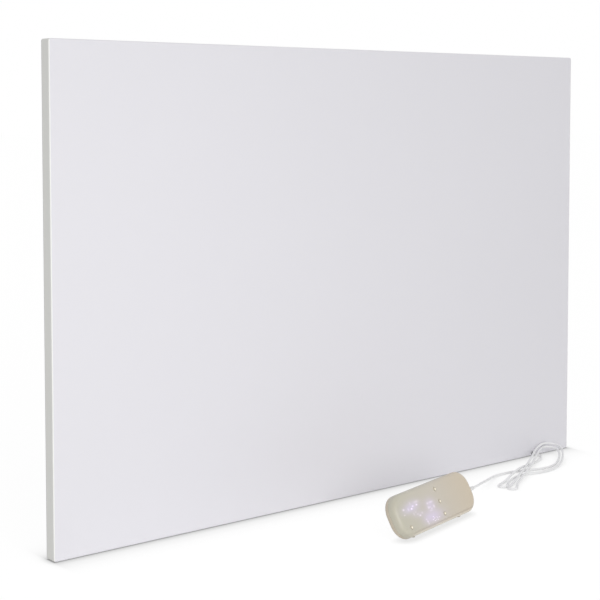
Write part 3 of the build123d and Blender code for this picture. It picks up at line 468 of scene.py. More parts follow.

# Painted highlight on edges: they are made lighter where the bevelled normal differs from the plain one. In
# metres.
edgeHighlightSet = {"radius": 0.0008, "samples": 4}
edgeGroup, edgeIn, edgeOut = newGroup(
    "edgeHighlight", [("Radius", "NodeSocketFloat", edgeHighlightSet["radius"])], [("Mask", "NodeSocketFloat")]
)
rounded = edgeGroup.nodes.new("ShaderNodeBevel")
rounded.samples = edgeHighlightSet["samples"]
plain = edgeGroup.nodes.new("ShaderNodeNewGeometry")
edgeGroup.links.new(edgeIn.outputs["Radius"], rounded.inputs["Radius"])
likeness = vectorNode(edgeGroup, "DOT_PRODUCT", rounded.outputs["Normal"], plain.outputs["Normal"])
away = mathNode(edgeGroup, "SUBTRACT", 1.0, likeness)
edgeGroup.links.new(mathNode(edgeGroup, "MINIMUM", away, 1.0), edgeOut.inputs["Mask"])


def newMaterial(name):
    material = bpy.data.materials.new(name)
    material.use_nodes = True
    tree = material.node_tree
    tree.nodes.new("ShaderNodeTexCoord")
    return material, tree, tree.nodes["Principled BSDF"]


def placeIn(tree):
    return tree.nodes["Texture Coordinate"].outputs["Object"]


def grained(tree, grainSize, cloudSize=coatSet["cloudSize"]):
    coat = tree.nodes.new("ShaderNodeGroup")
    coat.node_tree = coatGroup
    coat.inputs["Grain Size"].default_value = grainSize
    coat.inputs["Cloud Size"].default_value = cloudSize
    tree.links.new(placeIn(tree), coat.inputs["Vector"])
    return coat.outputs


def edgeHighlightMask(tree, radius):
    highlightNode = tree.nodes.new("ShaderNodeGroup")
    highlightNode.node_tree = edgeGroup
    highlightNode.inputs["Radius"].default_value = radius
    return highlightNode.outputs["Mask"]


def bumped(tree, shader, height, strength, depth):
    bump = tree.nodes.new("ShaderNodeBump")
    bump.inputs["Strength"].default_value = strength
    bump.inputs["Distance"].default_value = depth
    tree.links.new(height, bump.inputs["Height"])
    tree.links.new(bump.outputs["Normal"], shader.inputs["Normal"])


# What a finish has where it names nothing else, with the edge highlight's radius and bump depth in metres.
plainFinish = {"cloudSize": 6, "spread": 0.03, "shadesFrom": 0.3, "shadesTo": 0.7,
               "highlightRadius": 0.0006, "roughSpread": 0.1, "metallic": 0, "coat": 0,
               "bump": 0.15, "bumpDepth": 0.0002}


def coated(name, ownFinish):
    # Paint, moulded plastic or plated metal with grain, slow shade changes and a painted highlight on its
    # edges.
    finish = {**plainFinish, **ownFinish}
    base = finish["color"]
    spread = finish["spread"]
    material, tree, shader = newMaterial(name)
    coat = grained(tree, finish["grainSize"], finish["cloudSize"])
    shades = ramp(tree, coat["Cloud"], [
        (finish["shadesFrom"], tuple(c * (1 - spread) for c in base) + (1,)),
        (finish["shadesTo"], tuple(min(1, c * (1 + spread)) for c in base) + (1,)),
    ])
    edgeHighlighted = mixed(tree, edgeHighlightMask(tree, finish["highlightRadius"]), shades, finish.get("edgeHighlightColor", base))
    tree.links.new(edgeHighlighted, shader.inputs["Base Color"])
    roughness = mathNode(tree, "MULTIPLY_ADD", coat["Speck"], finish["roughSpread"],
                         finish["roughness"] - finish["roughSpread"] / 2)
    tree.links.new(roughness, shader.inputs["Roughness"])
    shader.inputs["Metallic"].default_value = finish["metallic"]
    shader.inputs["Coat Weight"].default_value = finish["coat"]
    bumped(tree, shader, coat["Height"], finish["bump"], finish["bumpDepth"])
    return material


def paint(names, material):
    for name in names:
        nodes[name].data.materials.clear()
        nodes[name].data.materials.append(material)


finishes = {
    "panelPaint": {"color": (0.838, 0.828, 0.868), "roughness": 0.45, "grainSize": 900, "cloudSize": 1.5,
                   "spread": 0.008, "bump": 0.08, "bumpDepth": 0.00015, "edgeHighlightColor": (0.88, 0.88, 0.87)},
    "coverPaint": {"color": (0.66, 0.665, 0.67), "roughness": 0.55, "grainSize": 700, "cloudSize": 3,
                   "spread": 0.02, "bump": 0.15, "edgeHighlightColor": (0.75, 0.75, 0.75)},
    "zincSteel": {"color": (0.62, 0.63, 0.64), "roughness": 0.35, "grainSize": 500, "cloudSize": 60,
                  "spread": 0.12, "metallic": 1, "bump": 0.1, "edgeHighlightColor": (0.8, 0.8, 0.8)},
    "hangerZinc": {"color": (0.66, 0.67, 0.69), "roughness": 0.38, "grainSize": 260, "cloudSize": 45,
                   "spread": 0.16, "metallic": 1, "bump": 0.12, "edgeHighlightColor": (0.82, 0.82, 0.82)},
    "groundSteel": {"color": (0.7, 0.7, 0.71), "roughness": 0.2, "grainSize": 800, "metallic": 1},
    "micaSheet": {"color": (0.52, 0.42, 0.28), "roughness": 0.4, "grainSize": 120, "spread": 0.15},
    "carbonFilm": {"color": (0.03, 0.03, 0.033), "roughness": 0.6, "grainSize": 500},
    "copperStrip": {"color": (0.75, 0.36, 0.22), "roughness": 0.3, "grainSize": 300, "metallic": 1},
    "brightFoil": {"color": (0.86, 0.87, 0.88), "roughness": 0.15, "grainSize": 90, "metallic": 1},
    "fibreBoard": {"color": (0.74, 0.66, 0.46), "roughness": 0.9, "grainSize": 220, "spread": 0.08},
    "cutoutCase": {"color": (0.04, 0.04, 0.045), "roughness": 0.35, "grainSize": 400},
    "siliconeFoam": {"color": (0.5, 0.14, 0.09), "roughness": 0.8, "grainSize": 500},
    "castResin": {"color": (0.05, 0.08, 0.14), "roughness": 0.2, "grainSize": 300, "coat": 0.4},
    "boxPlastic": {"color": (0.70, 0.705, 0.71), "roughness": 0.6, "grainSize": 1100, "bump": 0.35,
                   "edgeHighlightColor": (0.78, 0.78, 0.78)},
    "lidPlastic": {"color": (0.68, 0.685, 0.69), "roughness": 0.6, "grainSize": 1100, "bump": 0.35,
                   "edgeHighlightColor": (0.77, 0.77, 0.77)},
    "blockNylon": {"color": (0.74, 0.72, 0.64), "roughness": 0.5, "grainSize": 500},
    "solderMask": {"color": (0.02, 0.16, 0.06), "roughness": 0.3, "grainSize": 300, "coat": 0.3},
    "relayCase": {"color": (0.03, 0.03, 0.034), "roughness": 0.3, "grainSize": 400},
    "glandNylon": {"color": (0.045, 0.045, 0.048), "roughness": 0.5, "grainSize": 900, "bump": 0.3},
    "leadSilicone": {"color": (0.72, 0.72, 0.68), "roughness": 0.6, "grainSize": 500},
    "creamBack": {"color": (0.60, 0.53, 0.42), "roughness": 0.28, "grainSize": 900, "cloudSize": 12,
                  "spread": 0.03, "bump": 0.04, "edgeHighlightColor": (0.72, 0.66, 0.55)},
    "creamMatt": {"color": (0.58, 0.52, 0.42), "roughness": 0.5, "grainSize": 900, "bump": 0.2,
                  "edgeHighlightColor": (0.68, 0.62, 0.52)},
    "darkPlastic": {"color": (0.05, 0.05, 0.055), "roughness": 0.5, "grainSize": 600},
    "litEpoxy": {"color": (0.85, 0.82, 0.92), "roughness": 0.3, "grainSize": 600},
    "connectorNylon": {"color": (0.78, 0.77, 0.70), "roughness": 0.45, "grainSize": 600},
    "softRubber": {"color": (0.16, 0.16, 0.155), "roughness": 0.75, "grainSize": 700, "bump": 0.3},
    "bootRubber": {"color": (0.80, 0.80, 0.80), "roughness": 0.6, "grainSize": 900, "bump": 0.2},
    "greyRubber": {"color": (0.34, 0.34, 0.35), "roughness": 0.7, "grainSize": 900, "bump": 0.2},
    "paleRubber": {"color": (0.62, 0.58, 0.50), "roughness": 0.75, "grainSize": 900, "bump": 0.3},
    "cordJacket": {"color": (0.95, 0.95, 0.955), "roughness": 0.42, "grainSize": 900, "bump": 0.05},
}
wearers = {
    "panelPaint": ["front_tray"],
    "coverPaint": ["rear_cover"],
    "zincSteel": ["hanger_rivets", "base_screws", "earth_stud", "board_screws"],
    "hangerZinc": ["wall_hangers"],
    "groundSteel": ["stand_pin"],
    "micaSheet": ["front_mica_sheet", "rear_mica_sheet"],
    "carbonFilm": ["heating_film"],
    "copperStrip": ["busbars"],
    "brightFoil": ["reflector_foil"],
    "fibreBoard": ["insulation_board"],
    "cutoutCase": ["thermal_cutouts"],
    "siliconeFoam": ["cutout_press_pads"],
    "castResin": ["surface_sensor", "room_sensor"],
    "boxPlastic": ["terminal_box"],
    "blockNylon": ["terminal_block"],
    "solderMask": ["relay_board", "control_board"],
    "relayCase": ["power_relay"],
    "glandNylon": ["gland_lock_nut"],
    "leadSilicone": ["element_leads"],
    "creamBack": ["back_case"],
    "creamMatt": ["stand_leg"],
    "darkPlastic": ["display_module", "light_mask", "tact_switches", "microcontroller", "buzzer"],
    "litEpoxy": ["display_digits", "icon_lights"],
    "connectorNylon": ["wire_connector"],
    "softRubber": ["stand_pad"],
    "paleRubber": ["edge_feet"],
    "cordJacket": ["inner_signal_cable"],
}
materials = {}
for name, finish in finishes.items():
    materials[name] = coated(name, finish)
for name, worn in wearers.items():
    paint(worn, materials[name])

# The folded sides of the tray get a painted warmer shade than its front, and the bends at its ends a painted
# highlight.
# The places of both are in metres.
foldShadeAndHighlight = {"from": -0.0074, "color": (0.83, 0.832, 0.80), "bendFrom": 0.4488, "bend": (0.97, 0.97, 0.95)}
tree = materials["panelPaint"].node_tree
shader = tree.nodes["Principled BSDF"]
frontShade = shader.inputs["Base Color"].links[0].from_socket
trayAxes = splitAxes(tree, placeIn(tree))
folded = mathNode(tree, "GREATER_THAN", trayAxes["Y"], foldShadeAndHighlight["from"])
bendHighlightMask = mathNode(tree, "GREATER_THAN", mathNode(tree, "ABSOLUTE", trayAxes["X"]), foldShadeAndHighlight["bendFrom"])
bendHighlightMask = mathNode(tree, "MULTIPLY", bendHighlightMask, mathNode(tree, "SUBTRACT", 1, folded))
paintedSideShade = mixed(tree, folded, frontShade, foldShadeAndHighlight["color"])
tree.links.new(mixed(tree, bendHighlightMask, paintedSideShade, foldShadeAndHighlight["bend"]), shader.inputs["Base Color"])
signalCord.data.materials.append(materials["cordJacket"])
print("coated", len(finishes), "finishes")

screwSet = {
    "coverHead": 3.2, "coverHeight": 1.4, "coverShaft": 1.7, "coverReach": 2.2, "coverTurn": 0.9,
    "lidHead": 2.9, "lidHeight": 1.8, "lidShaft": 1.5, "lidReach": 12.2, "lidTurn": 0.7, "lidStart": 0.2,
    "caseHead": 2.3, "caseHeight": 1.8, "caseShaft": 1.25, "caseReach": 10.5, "caseTurn": 0.5,
    "panelHalf": 450, "panelHeight": 600, "screwLine": 7.2, "coverFace": 8.5, "coverSteps": 3,
    "boxX": 376, "boxZ": 70, "postX": 52.8, "postZ": 36.8, "lidFace": 36.7,
    "caseX": 78, "caseY": 14, "caseBase": -7,
}
# The shape of a screw: its tip, then its head and cross as shares of the head's radius and height.
crossSet = {"steps": 28, "tipTaper": 0.6, "tipLength": 0.5, "seat": 0.96,
            "dome": [(1, 0.12), (0.98, 0.45), (0.84, 0.78), (0.55, 0.95), (0, 1)],
            "bladeLength": 1.15, "bladeWidth": 0.26, "bladeHeight": 1.2, "bladeTaper": 0.55}


def crossScrew(name, head, height, shaft, reach):
    # A pan head with a cross recess, its seat at zero and its shaft below.
    profile = [(0, -reach), (shaft * crossSet["tipTaper"], -reach),
               (shaft, -reach + crossSet["tipLength"]), (shaft, 0), (head * crossSet["seat"], 0)]
    profile += [(head * wide, height * high) for wide, high in crossSet["dome"]]
    screw = lathe(name, profile, steps=crossSet["steps"])
    for turn in (0, 90):
        blade = addBox(head * crossSet["bladeLength"], head * crossSet["bladeWidth"],
                       height * crossSet["bladeHeight"], height, turn)
        selectFaces(blade, lambda centre, normal: normal.z < -shapeSet["facing"])
        bpy.ops.transform.resize(value=(crossSet["bladeTaper"], crossSet["bladeTaper"], 1),
                                 center_override=(0, 0, 0))
        bpy.ops.object.mode_set(mode="OBJECT")
        cutWith(screw, blade)
    pick(screw)
    smoothShade()
    return screw


def rearPlace(x, y, z, turn):
    # A place on the back: the piece's own Z points to the rear. The turn is in radians.
    return shift(x, y, z) @ Matrix.Rotation(math.radians(-90), 4, "X") @ Matrix.Rotation(turn, 4, "Z")


coverPlaces = []
side = screwSet["panelHalf"] - screwSet["screwLine"]
for step in range(-screwSet["coverSteps"], screwSet["coverSteps"] + 1):
    for level in (screwSet["screwLine"], screwSet["panelHeight"] - screwSet["screwLine"]):
        coverPlaces.append((step * side / screwSet["coverSteps"], level))
for edge in (-side, side):
    coverPlaces += [(edge, screwSet["panelHeight"] / 3), (edge, screwSet["panelHeight"] * 2 / 3)]
coverScrews = copiesAt(
    crossScrew("coverScrew", screwSet["coverHead"], screwSet["coverHeight"],
               screwSet["coverShaft"], screwSet["coverReach"]),
    "coverScrews",
    [rearPlace(x, screwSet["coverFace"], z, n * screwSet["coverTurn"])
     for n, (x, z) in enumerate(coverPlaces)],
)
dress(coverScrews, "panel", "zinc_steel", materials["zincSteel"], "cover_screws")

lidPlaces = [(screwSet["boxX"] + sideways * screwSet["postX"], screwSet["boxZ"] + level * screwSet["postZ"])
             for sideways in (-1, 1) for level in (-1, 1)]
lidScrews = copiesAt(
    crossScrew("lidScrew", screwSet["lidHead"], screwSet["lidHeight"],
               screwSet["lidShaft"], screwSet["lidReach"]),
    "lidScrews",
    [rearPlace(x, screwSet["lidFace"], z, n * screwSet["lidTurn"] + screwSet["lidStart"])
     for n, (x, z) in enumerate(lidPlaces)],
)
dress(lidScrews, "panel", "zinc_steel", materials["zincSteel"], "lid_screws")

casePlaces = [(sideways * screwSet["caseX"], row * screwSet["caseY"])
              for sideways in (-1, 1) for row in (-1, 1)]
underFace = Matrix.Rotation(math.pi, 4, "X")
caseScrews = copiesAt(
    crossScrew("caseScrew", screwSet["caseHead"], screwSet["caseHeight"],
               screwSet["caseShaft"], screwSet["caseReach"]),
    "caseScrews",
    [controlFrame @ shift(x, y, screwSet["caseBase"]) @ underFace
     @ Matrix.Rotation(screwSet["caseTurn"] * n, 4, "Z") for n, (x, y) in enumerate(casePlaces)],
)
dress(caseScrews, "panel", "zinc_steel", materials["zincSteel"], "case_screws")
print("screws turned and cut")

# The terminal box's lid: a rounded plate whose middle is sunk behind a rim. Its first inset is less
# than its corners' radius, so that no corners cross, and the sunk part is then brought to size.
lidSet = {"width": 116, "height": 84, "thickness": 2.2, "corner": 6, "cornerSteps": 8, "edge": 0.9,
          "edgeSteps": 3, "firstInset": 3, "rim": 13, "slope": 0.8, "recess": 0.8, "face": 34.5,
          "slack": 0.01}
boxLid = addBox(lidSet["width"], lidSet["height"], lidSet["thickness"], lidSet["thickness"] / 2)
boxLid.name = "boxLid"
bpy.ops.object.mode_set(mode="EDIT")
bpy.ops.mesh.select_mode(type="EDGE")
bpy.ops.mesh.select_all(action="DESELECT")
bpy.ops.object.mode_set(mode="OBJECT")
for edge in boxLid.data.edges:
    ends = [boxLid.data.vertices[n].co for n in edge.vertices]
    edge.select = abs(ends[0].z - ends[1].z) > mm
bpy.ops.object.mode_set(mode="EDIT")
bpy.ops.mesh.bevel(offset=lidSet["corner"] * mm, segments=lidSet["cornerSteps"])
bpy.ops.object.mode_set(mode="OBJECT")
selectFaces(boxLid, lambda centre, normal: normal.z > shapeSet["facing"])
bpy.ops.mesh.bevel(offset=lidSet["edge"] * mm, segments=lidSet["edgeSteps"])
bpy.ops.object.mode_set(mode="OBJECT")
topLevel = (lidSet["thickness"] - lidSet["slack"]) * mm
selectFaces(boxLid, lambda centre, normal: normal.z > shapeSet["facing"] and centre.z > topLevel)
bpy.ops.mesh.inset(thickness=lidSet["firstInset"] * mm)
inside = 2 * (lidSet["edge"] + lidSet["firstInset"])
bpy.ops.transform.resize(value=((lidSet["width"] - 2 * lidSet["rim"]) / (lidSet["width"] - inside),
                                (lidSet["height"] - 2 * lidSet["rim"]) / (lidSet["height"] - inside), 1),
                         center_override=(0, 0, 0))
bpy.ops.mesh.inset(thickness=lidSet["slope"] * mm, depth=-lidSet["recess"] * mm)
bpy.ops.object.mode_set(mode="OBJECT")
smoothShade()
boxLid.data.transform(rearPlace(screwSet["boxX"], lidSet["face"], screwSet["boxZ"], 0))
dress(boxLid, "panel", "lid_plastic", materials["lidPlastic"], "terminal_box_lid")

# The mains gland: a cap with ribs, over a hexagon.
glandSet = {
    "x": 404, "y": 21.5, "z": 28, "steps": 48, "smooth": 32,
    "profile": [(4, -7.2), (6, -7.2), (6, 0), (7.1, 0), (7.1, 4.2), (7.5, 4.6), (7.5, 9.4), (6.9, 10.8),
                (5.9, 11.7), (5.1, 12), (4.4, 12), (4, 11.5), (4, -7.2)],
    "ribsFrom": 4.6, "ribsTo": 9.4, "ribsOutside": 7, "ribSlope": 0.12, "ribDepth": 0.45, "ribEvery": 3,
    "hexRadius": 8.5, "hexHeight": 4, "hexBevel": 0.4, "hexBore": 6.9, "boreLength": 20,
}


def betweenRibs(centre, normal):
    # All but every third face round the cap's straight part.
    turn = math.degrees(math.atan2(centre.y, centre.x)) * glandSet["steps"] / 360
    return (glandSet["ribsFrom"] * mm < centre.z < glandSet["ribsTo"] * mm
            and centre.xy.length > glandSet["ribsOutside"] * mm
            and round(turn - 0.5) % glandSet["ribEvery"] != 0)


glandCap = lathe("glandCap", glandSet["profile"], steps=glandSet["steps"])
selectFaces(glandCap, betweenRibs)
bpy.ops.mesh.inset(thickness=glandSet["ribSlope"] * mm, depth=-glandSet["ribDepth"] * mm,
                   use_individual=False)
bpy.ops.object.mode_set(mode="OBJECT")
clearSelection()
bpy.ops.mesh.primitive_cylinder_add(vertices=6, radius=glandSet["hexRadius"] * mm,
                                    depth=glandSet["hexHeight"] * mm,
                                    location=(0, 0, glandSet["hexHeight"] / 2 * mm))
glandHex = bpy.context.object
settle(glandHex)
bpy.ops.object.mode_set(mode="EDIT")
bpy.ops.mesh.select_all(action="SELECT")
bpy.ops.mesh.bevel(offset=glandSet["hexBevel"] * mm, segments=2)
bpy.ops.object.mode_set(mode="OBJECT")
clearSelection()
bpy.ops.mesh.primitive_cylinder_add(vertices=glandSet["steps"], radius=glandSet["hexBore"] * mm,
                                    depth=glandSet["boreLength"] * mm)
cutWith(glandHex, bpy.context.object)
pick(glandCap)
glandHex.select_set(True)
bpy.ops.object.join()
smoothShade(glandSet["smooth"])
glandPlace = shift(glandSet["x"], glandSet["y"], glandSet["z"])
glandCap.data.transform(glandPlace @ Matrix.Rotation(math.pi, 4, "X"))
dress(glandCap, "panel", "gland_nylon", materials["glandNylon"], "mains_gland")

# The strain relief, which tapers from its base to its tip with grooves between its ribs.
bootSet = {"base": 3.2, "tip": 2.3, "ribs": 6, "firstRib": 3.0, "pitch": 2.5, "taperFrom": 1,
           "foot": [(0, -4), (3.2, -4), (3.2, 1.6)],
           "rib": [(0, -0.2), (-0.55, 0.1), (-0.55, 1.0), (-0.05, 1.3)],
           "end": [(2.3, 18.4), (2.15, 19.6), (1.7, 20), (0, 20)]}
bootProfile = list(bootSet["foot"])
for rib in range(bootSet["ribs"]):
    start = bootSet["firstRib"] + rib * bootSet["pitch"]
    taper = (start - bootSet["taperFrom"]) / (cordSet["bootLength"] - bootSet["taperFrom"])
    outer = bootSet["base"] - (bootSet["base"] - bootSet["tip"]) * taper
    bootProfile += [(outer + inward, start + onward) for inward, onward in bootSet["rib"]]
bootProfile += bootSet["end"]
strainRelief = lathe("strainRelief", bootProfile)
bootFrame = Matrix((faceUp, faceOut, along)).transposed().to_4x4()
bootFrame.translation = bootSpot * mm
strainRelief.data.transform(bootFrame)
dress(strainRelief, "panel", "boot_rubber", materials["bootRubber"], "strain_relief_boot")

grommetSet = {"profile": [(1.55, -1.2), (1.9, -1.2), (1.9, 0), (2.5, 0), (2.6, 0.2), (2.6, 1.0),
                          (2.4, 1.3), (2.1, 1.5), (2.05, 2.3), (1.9, 2.55), (1.6, 2.6), (1.55, 2.3),
                          (1.55, -1.2)]}
cordGrommet = lathe("cordGrommet", grommetSet["profile"])
cordGrommet.data.transform(shift(cordSet["grommetX"], cordSet["panelFront"], cordSet["grommetZ"])
                           @ Matrix.Rotation(math.radians(90), 4, "X"))
dress(cordGrommet, "panel", "dark_rubber", materials["greyRubber"], "signal_grommet")
print("lid, gland, strain relief and grommet made")

# A soft round spot of light, for the hand control's face, in the control's own millimetres.
spotGroup, spotIn, spotOut = newGroup(
    "glowSpot",
    [("Vector", "NodeSocketVector", None), ("Centre", "NodeSocketVector", (0.0, 0.0, 0.0)),
     ("Stretch", "NodeSocketVector", (1.0, 1.0, 0.0)), ("Strength", "NodeSocketFloat", 1.0)],
    [("Value", "NodeSocketFloat")],
)
spotShift = vectorNode(spotGroup, "SUBTRACT", spotIn.outputs["Vector"], spotIn.outputs["Centre"])
spotScale = vectorNode(spotGroup, "MULTIPLY", spotShift, spotIn.outputs["Stretch"])
spotLength = vectorNode(spotGroup, "DOT_PRODUCT", spotScale, spotScale)
spotPower = mathNode(spotGroup, "EXPONENT", mathNode(spotGroup, "MULTIPLY", spotLength, -1.0))
spotValue = mathNode(spotGroup, "MULTIPLY", spotPower, spotIn.outputs["Strength"])
spotGroup.links.new(spotValue, spotOut.inputs["Value"])

glowSet = {
    # x, y, half width, half height, strength, all on the face, in millimetres
    "halos": [(-51.4, 7.5, 17.5, 6.8, 0.34), (-63.1, 4.2, 16.5, 5.6, 0.26), (-46.8, -4.7, 13, 4.2, 0.20),
              (-15.3, 0.6, 11, 7.6, 0.40), (-15.4, -14.2, 20, 7.8, 0.40), (-31.3, -13.5, 13, 8, 0.22)],
    "lamps": [(-56.3, 4.2, 1.6, 0.9, 0.8), (-52.0, 6.7, 1.8, 1.0, 0.42), (-43.4, 6.7, 2.0, 1.0, 0.5),
              (-41.9, 10.2, 5.4, 1.7, 0.2), (-73.3, 6.6, 2.0, 1.1, 0.42), (-63.2, 4.9, 1.6, 1.6, 0.2),
              (-75.1, 0.3, 1.6, 0.7, 0.28), (-55.9, 11.1, 1.6, 1.7, 0.12), (-55.7, -2.7, 1.6, 1.7, 0.16),
              (-50.9, -1.2, 1.6, 1.0, 0.14), (-44.4, -6.9, 2.0, 1.0, 0.38), (-38.5, -4.9, 2.0, 1.3, 0.16),
              (-48.3, -4.4, 1.8, 0.8, 0.16)],
    # the two symbols and the bar beside them
    "ring": [(-12.5, 3.1, 5.1, 1.2, 0.22), (-20.6, 3.0, 2.0, 1.3, 0.22), (-21.4, -2.3, 1.8, 1.5, 0.3),
             (-9.0, -3.2, 1.8, 1.9, 0.27), (-18.0, -2.4, 1.6, 0.8, 0.27), (-15.4, -4.7, 1.6, 0.8, 0.27),
             (-18.2, -6.6, 3.6, 1.0, 0.15)],
    "dots": [(-19.2, -14.5, 1.2, 0.6, 0.5), (-18.1, -16.7, 1.3, 0.6, 0.42), (-21.8, -17.8, 1.2, 0.6, 0.5),
             (-18.5, -20.0, 1.3, 0.5, 0.53), (-14.9, -19.3, 1.1, 0.5, 0.36), (-11.3, -20.0, 1.3, 0.5, 0.48),
             (-11.5, -17.9, 1.2, 0.5, 0.39), (-7.0, -17.7, 1.3, 0.5, 0.42), (-12.1, -16.5, 1.1, 0.5, 0.34)],
    "bar": [(-35.2, -14.4, 1.6, 0.8, 0.26), (-34.3, -17.4, 1.6, 1.3, 0.31), (-33.6, -20.2, 1.6, 1.0, 0.23)],
    "haloColor": (0.24, 0.18, 0.56),
    "lampColor": (0.64, 0.56, 0.74),
}
keySet = {"spots": [(7.3, 15.4), (7.3, -0.6), (7.3, -16.8), (-71, -16.1)], "glintRadius": 0.9,
          "glintStrength": 0.8, "glintColor": (1.0, 0.93, 0.80), "smooth": 40,
          "names": ["key_up", "key_down", "key_timer", "key_power"],
          "profile": [(0, 3.9), (1.5, 3.9), (1.5, 6.0), (3.8, 6.0), (3.8, 6.8), (2.6, 6.8), (2.6, 9.3),
                      (2.5, 9.65), (2.25, 9.85), (1.9, 9.9), (1.45, 9.78), (1.1, 9.62), (0.9, 9.62),
                      (0.7, 9.8), (0.35, 9.9), (0, 9.92)],
          "finish": {"color": (0.62, 0.57, 0.46), "roughness": 0.2, "grainSize": 900, "bump": 0.03,
                     "edgeHighlightColor": (0.72, 0.66, 0.54)}}
# The face's painted shading from left to right, its painted edge highlight, the painted shade line and
# highlight rim low on it, the painted shade of its left end, and its seam. The edge highlight's radius and
# bump depth are in metres.
creamSet = {"left": (0.60, 0.575, 0.47), "middle": (0.655, 0.605, 0.52), "right": (0.69, 0.59, 0.45),
            "edge": (0.74, 0.66, 0.53), "highlightRadius": 0.0012, "roughness": 0.22, "roughSpread": 0.08,
            "grainSize": 900, "bump": 0.04, "bumpDepth": 0.0001, "litDepth": 2,
            "seamWidth": 0.28, "seamShade": 0.55, "seamColor": (0.16, 0.13, 0.09),
            "line": (0.44, 0.37, 0.28), "lineAt": -3.6, "lineWidth": 1.1, "lineShade": 0.45,
            "rim": (0.84, 0.77, 0.64), "rimFrom": -3.0, "rimTo": -1.2, "rimShade": 0.75,
            "lowerFrom": -5, "lowerTo": -13.33333,
            "end": (0.485, 0.46, 0.365), "endFrom": 60, "endTo": 76, "roll": 6, "endShade": 0.14}


def controlPlace(tree):
    # Object coordinates turned into the hand control's own millimetres.
    turned = tree.nodes.new("ShaderNodeMapping")
    turned.vector_type = "TEXTURE"
    turned.inputs["Location"].default_value = controlFrame.translation
    turned.inputs["Rotation"].default_value = controlFrame.to_euler("XYZ")
    turned.inputs["Scale"].default_value = (mm, mm, mm)
    tree.links.new(placeIn(tree), turned.inputs["Vector"])
    return turned.outputs["Vector"]


def addSpots(tree, vector, spots):
    total = 0
    for x, y, wide, high, strength in spots:
        spot = tree.nodes.new("ShaderNodeGroup")
        spot.node_tree = spotGroup
        spot.inputs["Centre"].default_value = (x, y, 0)
        spot.inputs["Stretch"].default_value = (1 / wide, 1 / high, 0)
        spot.inputs["Strength"].default_value = strength
        tree.links.new(vector, spot.inputs["Vector"])
        total = mathNode(tree, "ADD", total, spot.outputs["Value"])
    return total


def paintedEdgeLight(tree, axes, color):
    # How far each place is within the face's outline, as a distance below zero.
    corner = controlSet["corner"]
    sideways = beyond(tree, axes["X"], controlSet["length"] / 2 - corner)
    level = beyond(tree, axes["Y"], controlSet["face"] / 2 - corner)
    squares = mathNode(tree, "MULTIPLY_ADD", sideways, sideways, mathNode(tree, "MULTIPLY", level, level))
    reach = mathNode(tree, "SUBTRACT", mathNode(tree, "SQRT", squares), corner)
    # The left end rolls away and gets a painted shade, a little darker than the face.
    leftEnd = mathNode(tree, "MULTIPLY", axes["X"], -1)
    leftEnd = between(tree, leftEnd, creamSet["endFrom"], creamSet["endTo"])
    rolled = between(tree, reach, -creamSet["roll"], -creamSet["roll"] / 2)
    rolled = mathNode(tree, "MULTIPLY", rolled, creamSet["endShade"])
    color = mixed(tree, mathNode(tree, "MULTIPLY", rolled, leftEnd), color, creamSet["end"])
    # Elsewhere the lower edge has a thin painted shade line where it rolls over, and a painted highlight rim
    # outside it.
    lower = between(tree, axes["Y"], creamSet["lowerFrom"], creamSet["lowerTo"])
    lower = mathNode(tree, "MULTIPLY", lower, mathNode(tree, "SUBTRACT", 1, leftEnd))
    rim = mathNode(tree, "MULTIPLY", between(tree, reach, creamSet["rimFrom"], creamSet["rimTo"]), lower)
    rim = mathNode(tree, "MULTIPLY", rim, creamSet["rimShade"])
    off = mathNode(tree, "SUBTRACT", reach, creamSet["lineAt"])
    off = mathNode(tree, "DIVIDE", off, creamSet["lineWidth"])
    line = mathNode(tree, "EXPONENT", mathNode(tree, "MULTIPLY", mathNode(tree, "MULTIPLY", off, off), -1))
    line = mathNode(tree, "MULTIPLY", mathNode(tree, "MULTIPLY", line, lower), creamSet["lineShade"])
    return mixed(tree, line, mixed(tree, rim, color, creamSet["rim"]), creamSet["line"])


def seamed(tree, level, color):
    # Darkens the thin line where the two halves of the case meet.
    away = mathNode(tree, "SUBTRACT", level, controlSet["seam"])
    near = mathNode(tree, "LESS_THAN", mathNode(tree, "ABSOLUTE", away), creamSet["seamWidth"])
    near = mathNode(tree, "MULTIPLY", near, creamSet["seamShade"])
    return mixed(tree, near, color, creamSet["seamColor"])


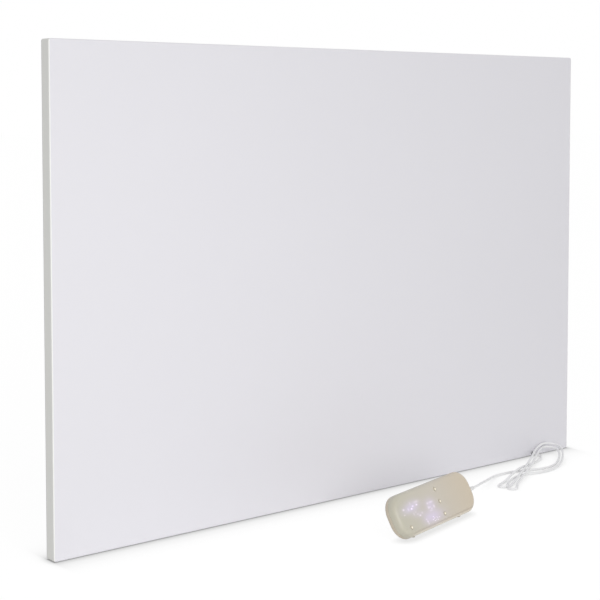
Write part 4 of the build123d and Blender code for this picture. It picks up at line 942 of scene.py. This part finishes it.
creamFace, tree, shader = newMaterial("creamFace")
onFace = controlPlace(tree)
faceAxes = splitAxes(tree, onFace)
# Painted shading: the face runs from a darker olive at the left to a lighter, warmer cream at the right.
share = mathNode(tree, "MULTIPLY_ADD", faceAxes["X"], 1 / controlSet["length"], 0.5)
cream = ramp(tree, share, [(0, creamSet["left"] + (1,)), (0.5, creamSet["middle"] + (1,)),
                           (1, creamSet["right"] + (1,))])
# Its edges get a painted highlight.
edgeHighlighted = mixed(tree, edgeHighlightMask(tree, creamSet["highlightRadius"]), cream, creamSet["edge"])
faceShade = seamed(tree, faceAxes["Z"], paintedEdgeLight(tree, faceAxes, edgeHighlighted))
tree.links.new(faceShade, shader.inputs["Base Color"])
coat = grained(tree, creamSet["grainSize"])
roughness = mathNode(tree, "MULTIPLY_ADD", coat["Cloud"], creamSet["roughSpread"],
                     creamSet["roughness"] - creamSet["roughSpread"] / 2)
tree.links.new(roughness, shader.inputs["Roughness"])
bumped(tree, shader, coat["Height"], creamSet["bump"], creamSet["bumpDepth"])
halo = addSpots(tree, onFace, glowSet["halos"])
lamps = addSpots(tree, onFace, glowSet["lamps"] + glowSet["ring"] + glowSet["dots"] + glowSet["bar"])
frontOnly = mathNode(tree, "GREATER_THAN", faceAxes["Z"], controlSet["depth"] / 2 - creamSet["litDepth"])
halo = vectorNode(tree, "SCALE", glowSet["haloColor"], mathNode(tree, "MULTIPLY", halo, frontOnly))
lamps = vectorNode(tree, "SCALE", glowSet["lampColor"], mathNode(tree, "MULTIPLY", lamps, frontOnly))
tree.links.new(vectorNode(tree, "ADD", halo, lamps), shader.inputs["Emission Color"])
shader.inputs["Emission Strength"].default_value = 1
paint(["front_case"], creamFace)

keyCream = coated("keyCream", keySet["finish"])
tree = keyCream.node_tree
shader = tree.nodes["Principled BSDF"]
# A small glowing spot at each key's centre is a painted glint.
lens = addSpots(tree, controlPlace(tree), [(x, y, keySet["glintRadius"], keySet["glintRadius"],
                                            keySet["glintStrength"]) for x, y in keySet["spots"]])
tree.links.new(vectorNode(tree, "SCALE", keySet["glintColor"], lens), shader.inputs["Emission Color"])
shader.inputs["Emission Strength"].default_value = 1
for name, (x, y) in zip(keySet["names"], keySet["spots"]):
    keyCap = lathe(name.replace("_", "") + "Cap", keySet["profile"], smooth=keySet["smooth"])
    keyCap.data.transform(controlFrame @ shift(x, y, 0))
    dress(keyCap, name, "key_plastic", keyCream, name)
print("hand control's face lit and keys set")
